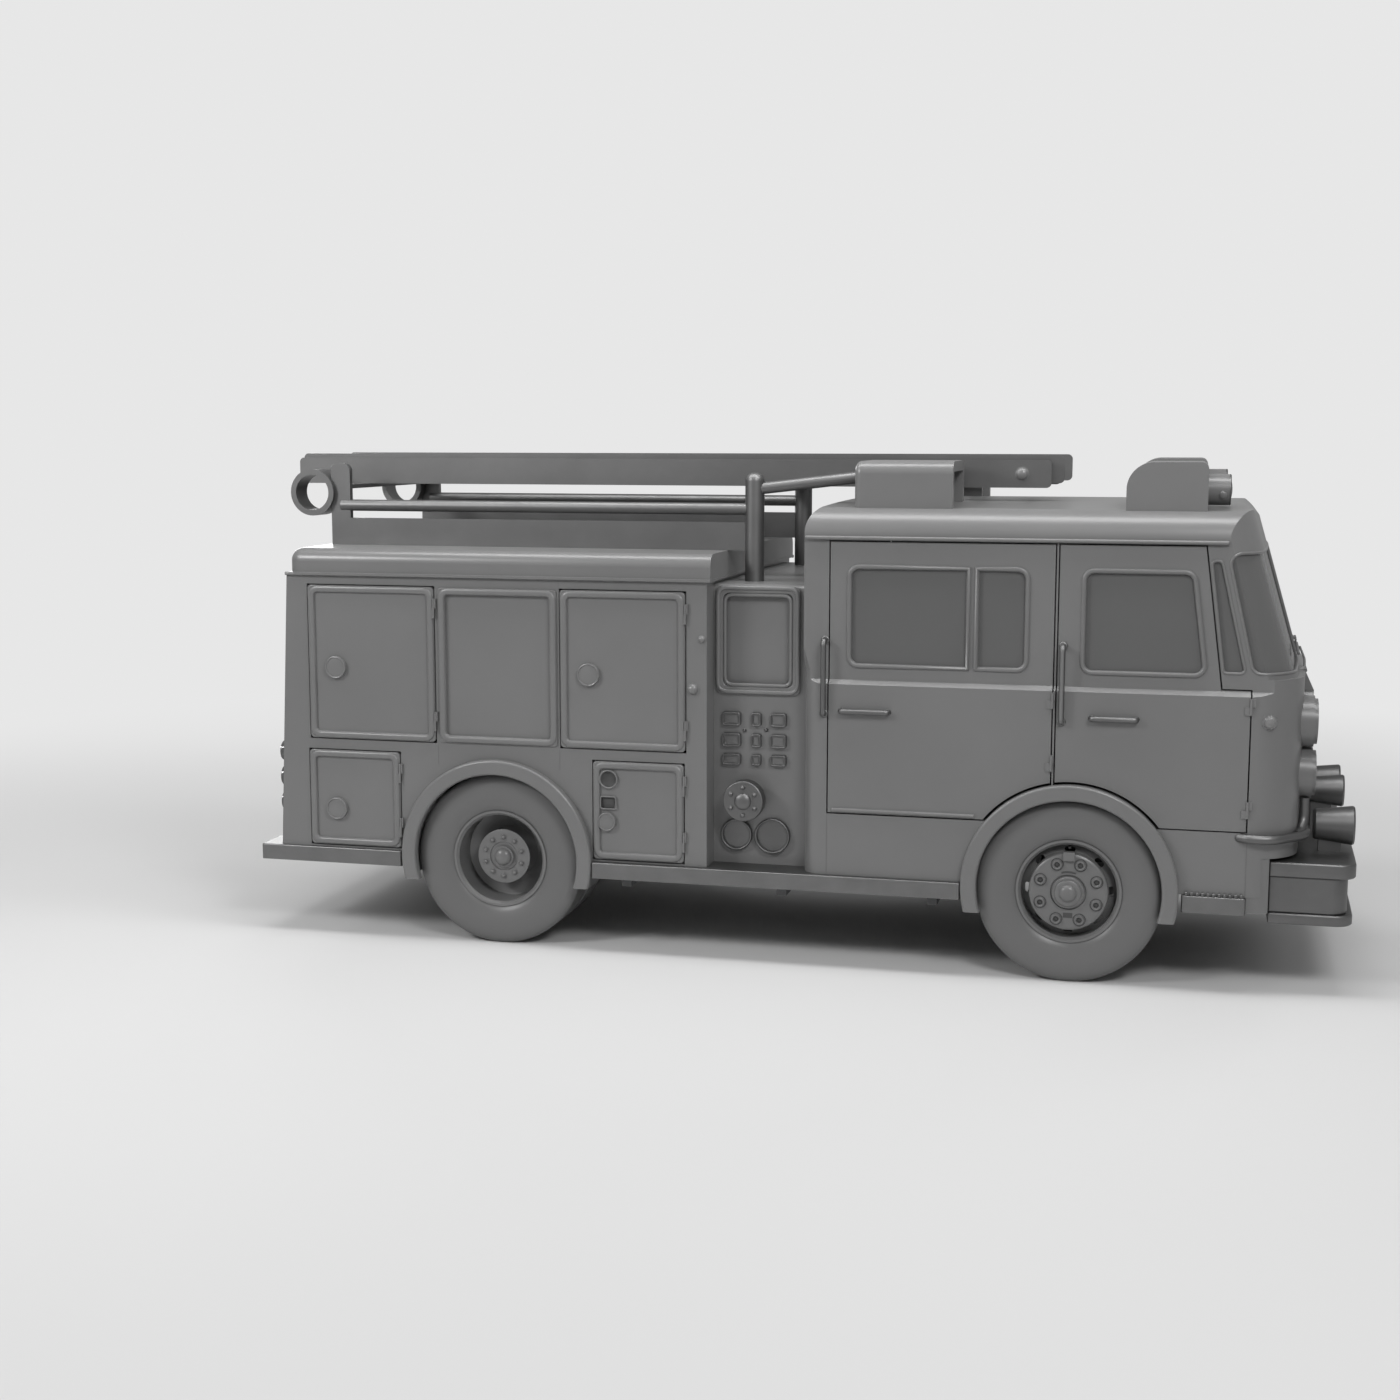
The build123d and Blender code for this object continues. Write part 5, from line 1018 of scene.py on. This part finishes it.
def cushion(name, low, high, face, channels):
    piece = block(name, low, high)
    bpy.ops.object.mode_set(mode="EDIT")
    bpy.ops.mesh.select_all(action="SELECT")
    bpy.ops.mesh.subdivide(number_cuts=cushions["cuts"])
    bpy.ops.object.mode_set(mode="OBJECT")
    middle = [(a + b) / 2 for a, b in zip(low, high)]
    half = [(b - a) / 2 for a, b in zip(low, high)]
    up = 2 if face == "z" else 0
    others = [i for i in range(3) if i != up]
    for vertex in piece.data.vertices:
        u = [(vertex.co[i] - middle[i]) / half[i] for i in range(3)]
        rim = max(abs(u[others[0]]), abs(u[others[1]]))
        fall = cushions["crown"] * rim ** 6
        dip = cushions["channel"] * (0.5 + 0.5 * cos(u[1] * pi * channels)) ** 8 * (1 - rim ** 8)
        top = max(0.0, u[up])
        vertex.co[up] = middle[up] + u[up] * half[up] * (1 - fall) - dip * top
        for i, j in ((others[0], others[1]), (others[1], others[0])):
            squeeze = cushions["pinch"] * half[i] * (1 - u[j] ** 2) * abs(u[i]) ** 6
            vertex.co[i] -= squeeze * (1 if u[i] > 0 else -1) * min(1.0, 0.3 / max(half[i], 0.3))
    soft = piece.modifiers.new("softer", "SUBSURF")
    soft.levels = 1
    soft.render_levels = 1
    bpy.ops.object.modifier_apply(modifier=soft.name)
    dress(piece, name, "chassis", "seatCloth", 60)
    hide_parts("seats")
    return piece


for row in cushions["rows"]:
    cushion(*row)
print("fire engine: seats")


# ---- stage, lights and camera ----
studio = {
    "floor": "#cdcdcd",
    "backdrop": 0.8,          # linear, seen by camera and glass
    "fade": (4.0, 12.0),      # metres from the middle over which floor turns to backdrop
    "worldStrength": 0.36,
    "keyPower": 520,
    "fillPower": 400,
    "rimPower": 200,
    "leftPower": 230,
    "topPower": 340,
}


def seenDirectly(tree):
    # 1 for camera and glass rays
    path = addNode(tree, "ShaderNodeLightPath").outputs
    return addNode(tree, "ShaderNodeMath", {"operation": "MAXIMUM"},
                   {0: path["Is Camera Ray"], 1: path["Is Transmission Ray"]}).outputs[0]


deselect()
bpy.ops.mesh.primitive_plane_add(size=240, location=(0, 0, -0.0005))
floor = bpy.context.object
floor.name = "studioFloor"
material, tree, shader = newMaterial("paintedFloor", studio["floor"], Roughness=0.9, Specular_IOR_Level=0.1)
place = addNode(tree, "ShaderNodeTexCoord")
reach = addNode(tree, "ShaderNodeVectorMath", {"operation": "LENGTH"}, {0: place.outputs["Object"]})
fade = addNode(tree, "ShaderNodeMapRange", {"interpolation_type": "SMOOTHSTEP", "From Min": studio["fade"][0],
                                            "From Max": studio["fade"][1]}, {"Value": reach.outputs["Value"]})
seen = addNode(tree, "ShaderNodeMath", {"operation": "MULTIPLY"}, {0: fade.outputs[0], 1: seenDirectly(tree)})
glow = addNode(tree, "ShaderNodeEmission", {"Color": [studio["backdrop"]] * 3 + [1], "Strength": 1.0})
blend = addNode(tree, "ShaderNodeMixShader", {},
                {0: seen.outputs[0], 1: shader.outputs[0], 2: glow.outputs[0]})
tree.links.new(blend.outputs[0], tree.nodes["Material Output"].inputs["Surface"])
floor.data.materials.append(material)

world = bpy.data.worlds.new("studioWorld")
bpy.context.scene.world = world
world.use_nodes = True
tree = world.node_tree
light = tree.nodes["Background"]
light.inputs["Color"].default_value = (0.95, 0.95, 0.95, 1)
light.inputs["Strength"].default_value = studio["worldStrength"]
screen = addNode(tree, "ShaderNodeBackground", {"Color": [studio["backdrop"]] * 3 + [1], "Strength": 1.0})
blend = addNode(tree, "ShaderNodeMixShader", {},
                {0: seenDirectly(tree), 1: light.outputs[0], 2: screen.outputs[0]})
tree.links.new(blend.outputs[0], tree.nodes["World Output"].inputs["Surface"])


def softLamp(name, place, target, size, power):
    deselect()
    bpy.ops.object.light_add(type="AREA", location=place)
    lamp = bpy.context.object
    lamp.name = name
    lamp.data.shape = "RECTANGLE"
    lamp.data.size, lamp.data.size_y = size
    lamp.data.energy = power
    lamp.rotation_euler = (Vector(target) - Vector(place)).to_track_quat("-Z", "Y").to_euler()
    return lamp


softLamp("keyLamp", (5.5, -9.0, 8.5), (0, 0, 1.2), (3.4, 2.4), studio["keyPower"])
softLamp("fillLamp", (-7.0, -7.5, 6.5), (0, 0, 1.0), (2.6, 2.2), studio["fillPower"])
softLamp("leftRearLamp", (-8.5, 8.5, 4.5), (0, 0, 1.2), (3.5, 3), studio["leftPower"])
for lamp in (softLamp("leftFrontLamp", (8.5, 8.5, 4.5), (0, 0, 1.2), (3.5, 3), studio["leftPower"]),
             softLamp("rimLamp", (-2.0, 8.0, 8.0), (0, 0, 1.8), (7, 3), studio["rimPower"])):
    lamp.visible_glossy = False      # no glare off the roof or the screen
softLamp("topLamp", (0.0, -1.6, 7.0), (0, -0.6, 1.8), (9, 1.6), studio["topPower"])

viewpoint = {
    "place": (2.39, -12.25, 3.141),
    "forward": (-0.24472, 0.95993, -0.13654),
    "lens": 50,
}
deselect()
bpy.ops.object.camera_add(location=viewpoint["place"])
camera = bpy.context.object
camera.name = "photoCamera"
camera.data.lens = viewpoint["lens"]
camera.data.sensor_width = 36
camera.data.sensor_height = 36
camera.rotation_euler = Vector(viewpoint["forward"]).to_track_quat("-Z", "Y").to_euler()
camera.data.clip_end = 400
bpy.context.scene.camera = camera
bpy.context.scene.view_settings.view_transform = "Standard"
print("fire engine: studio")
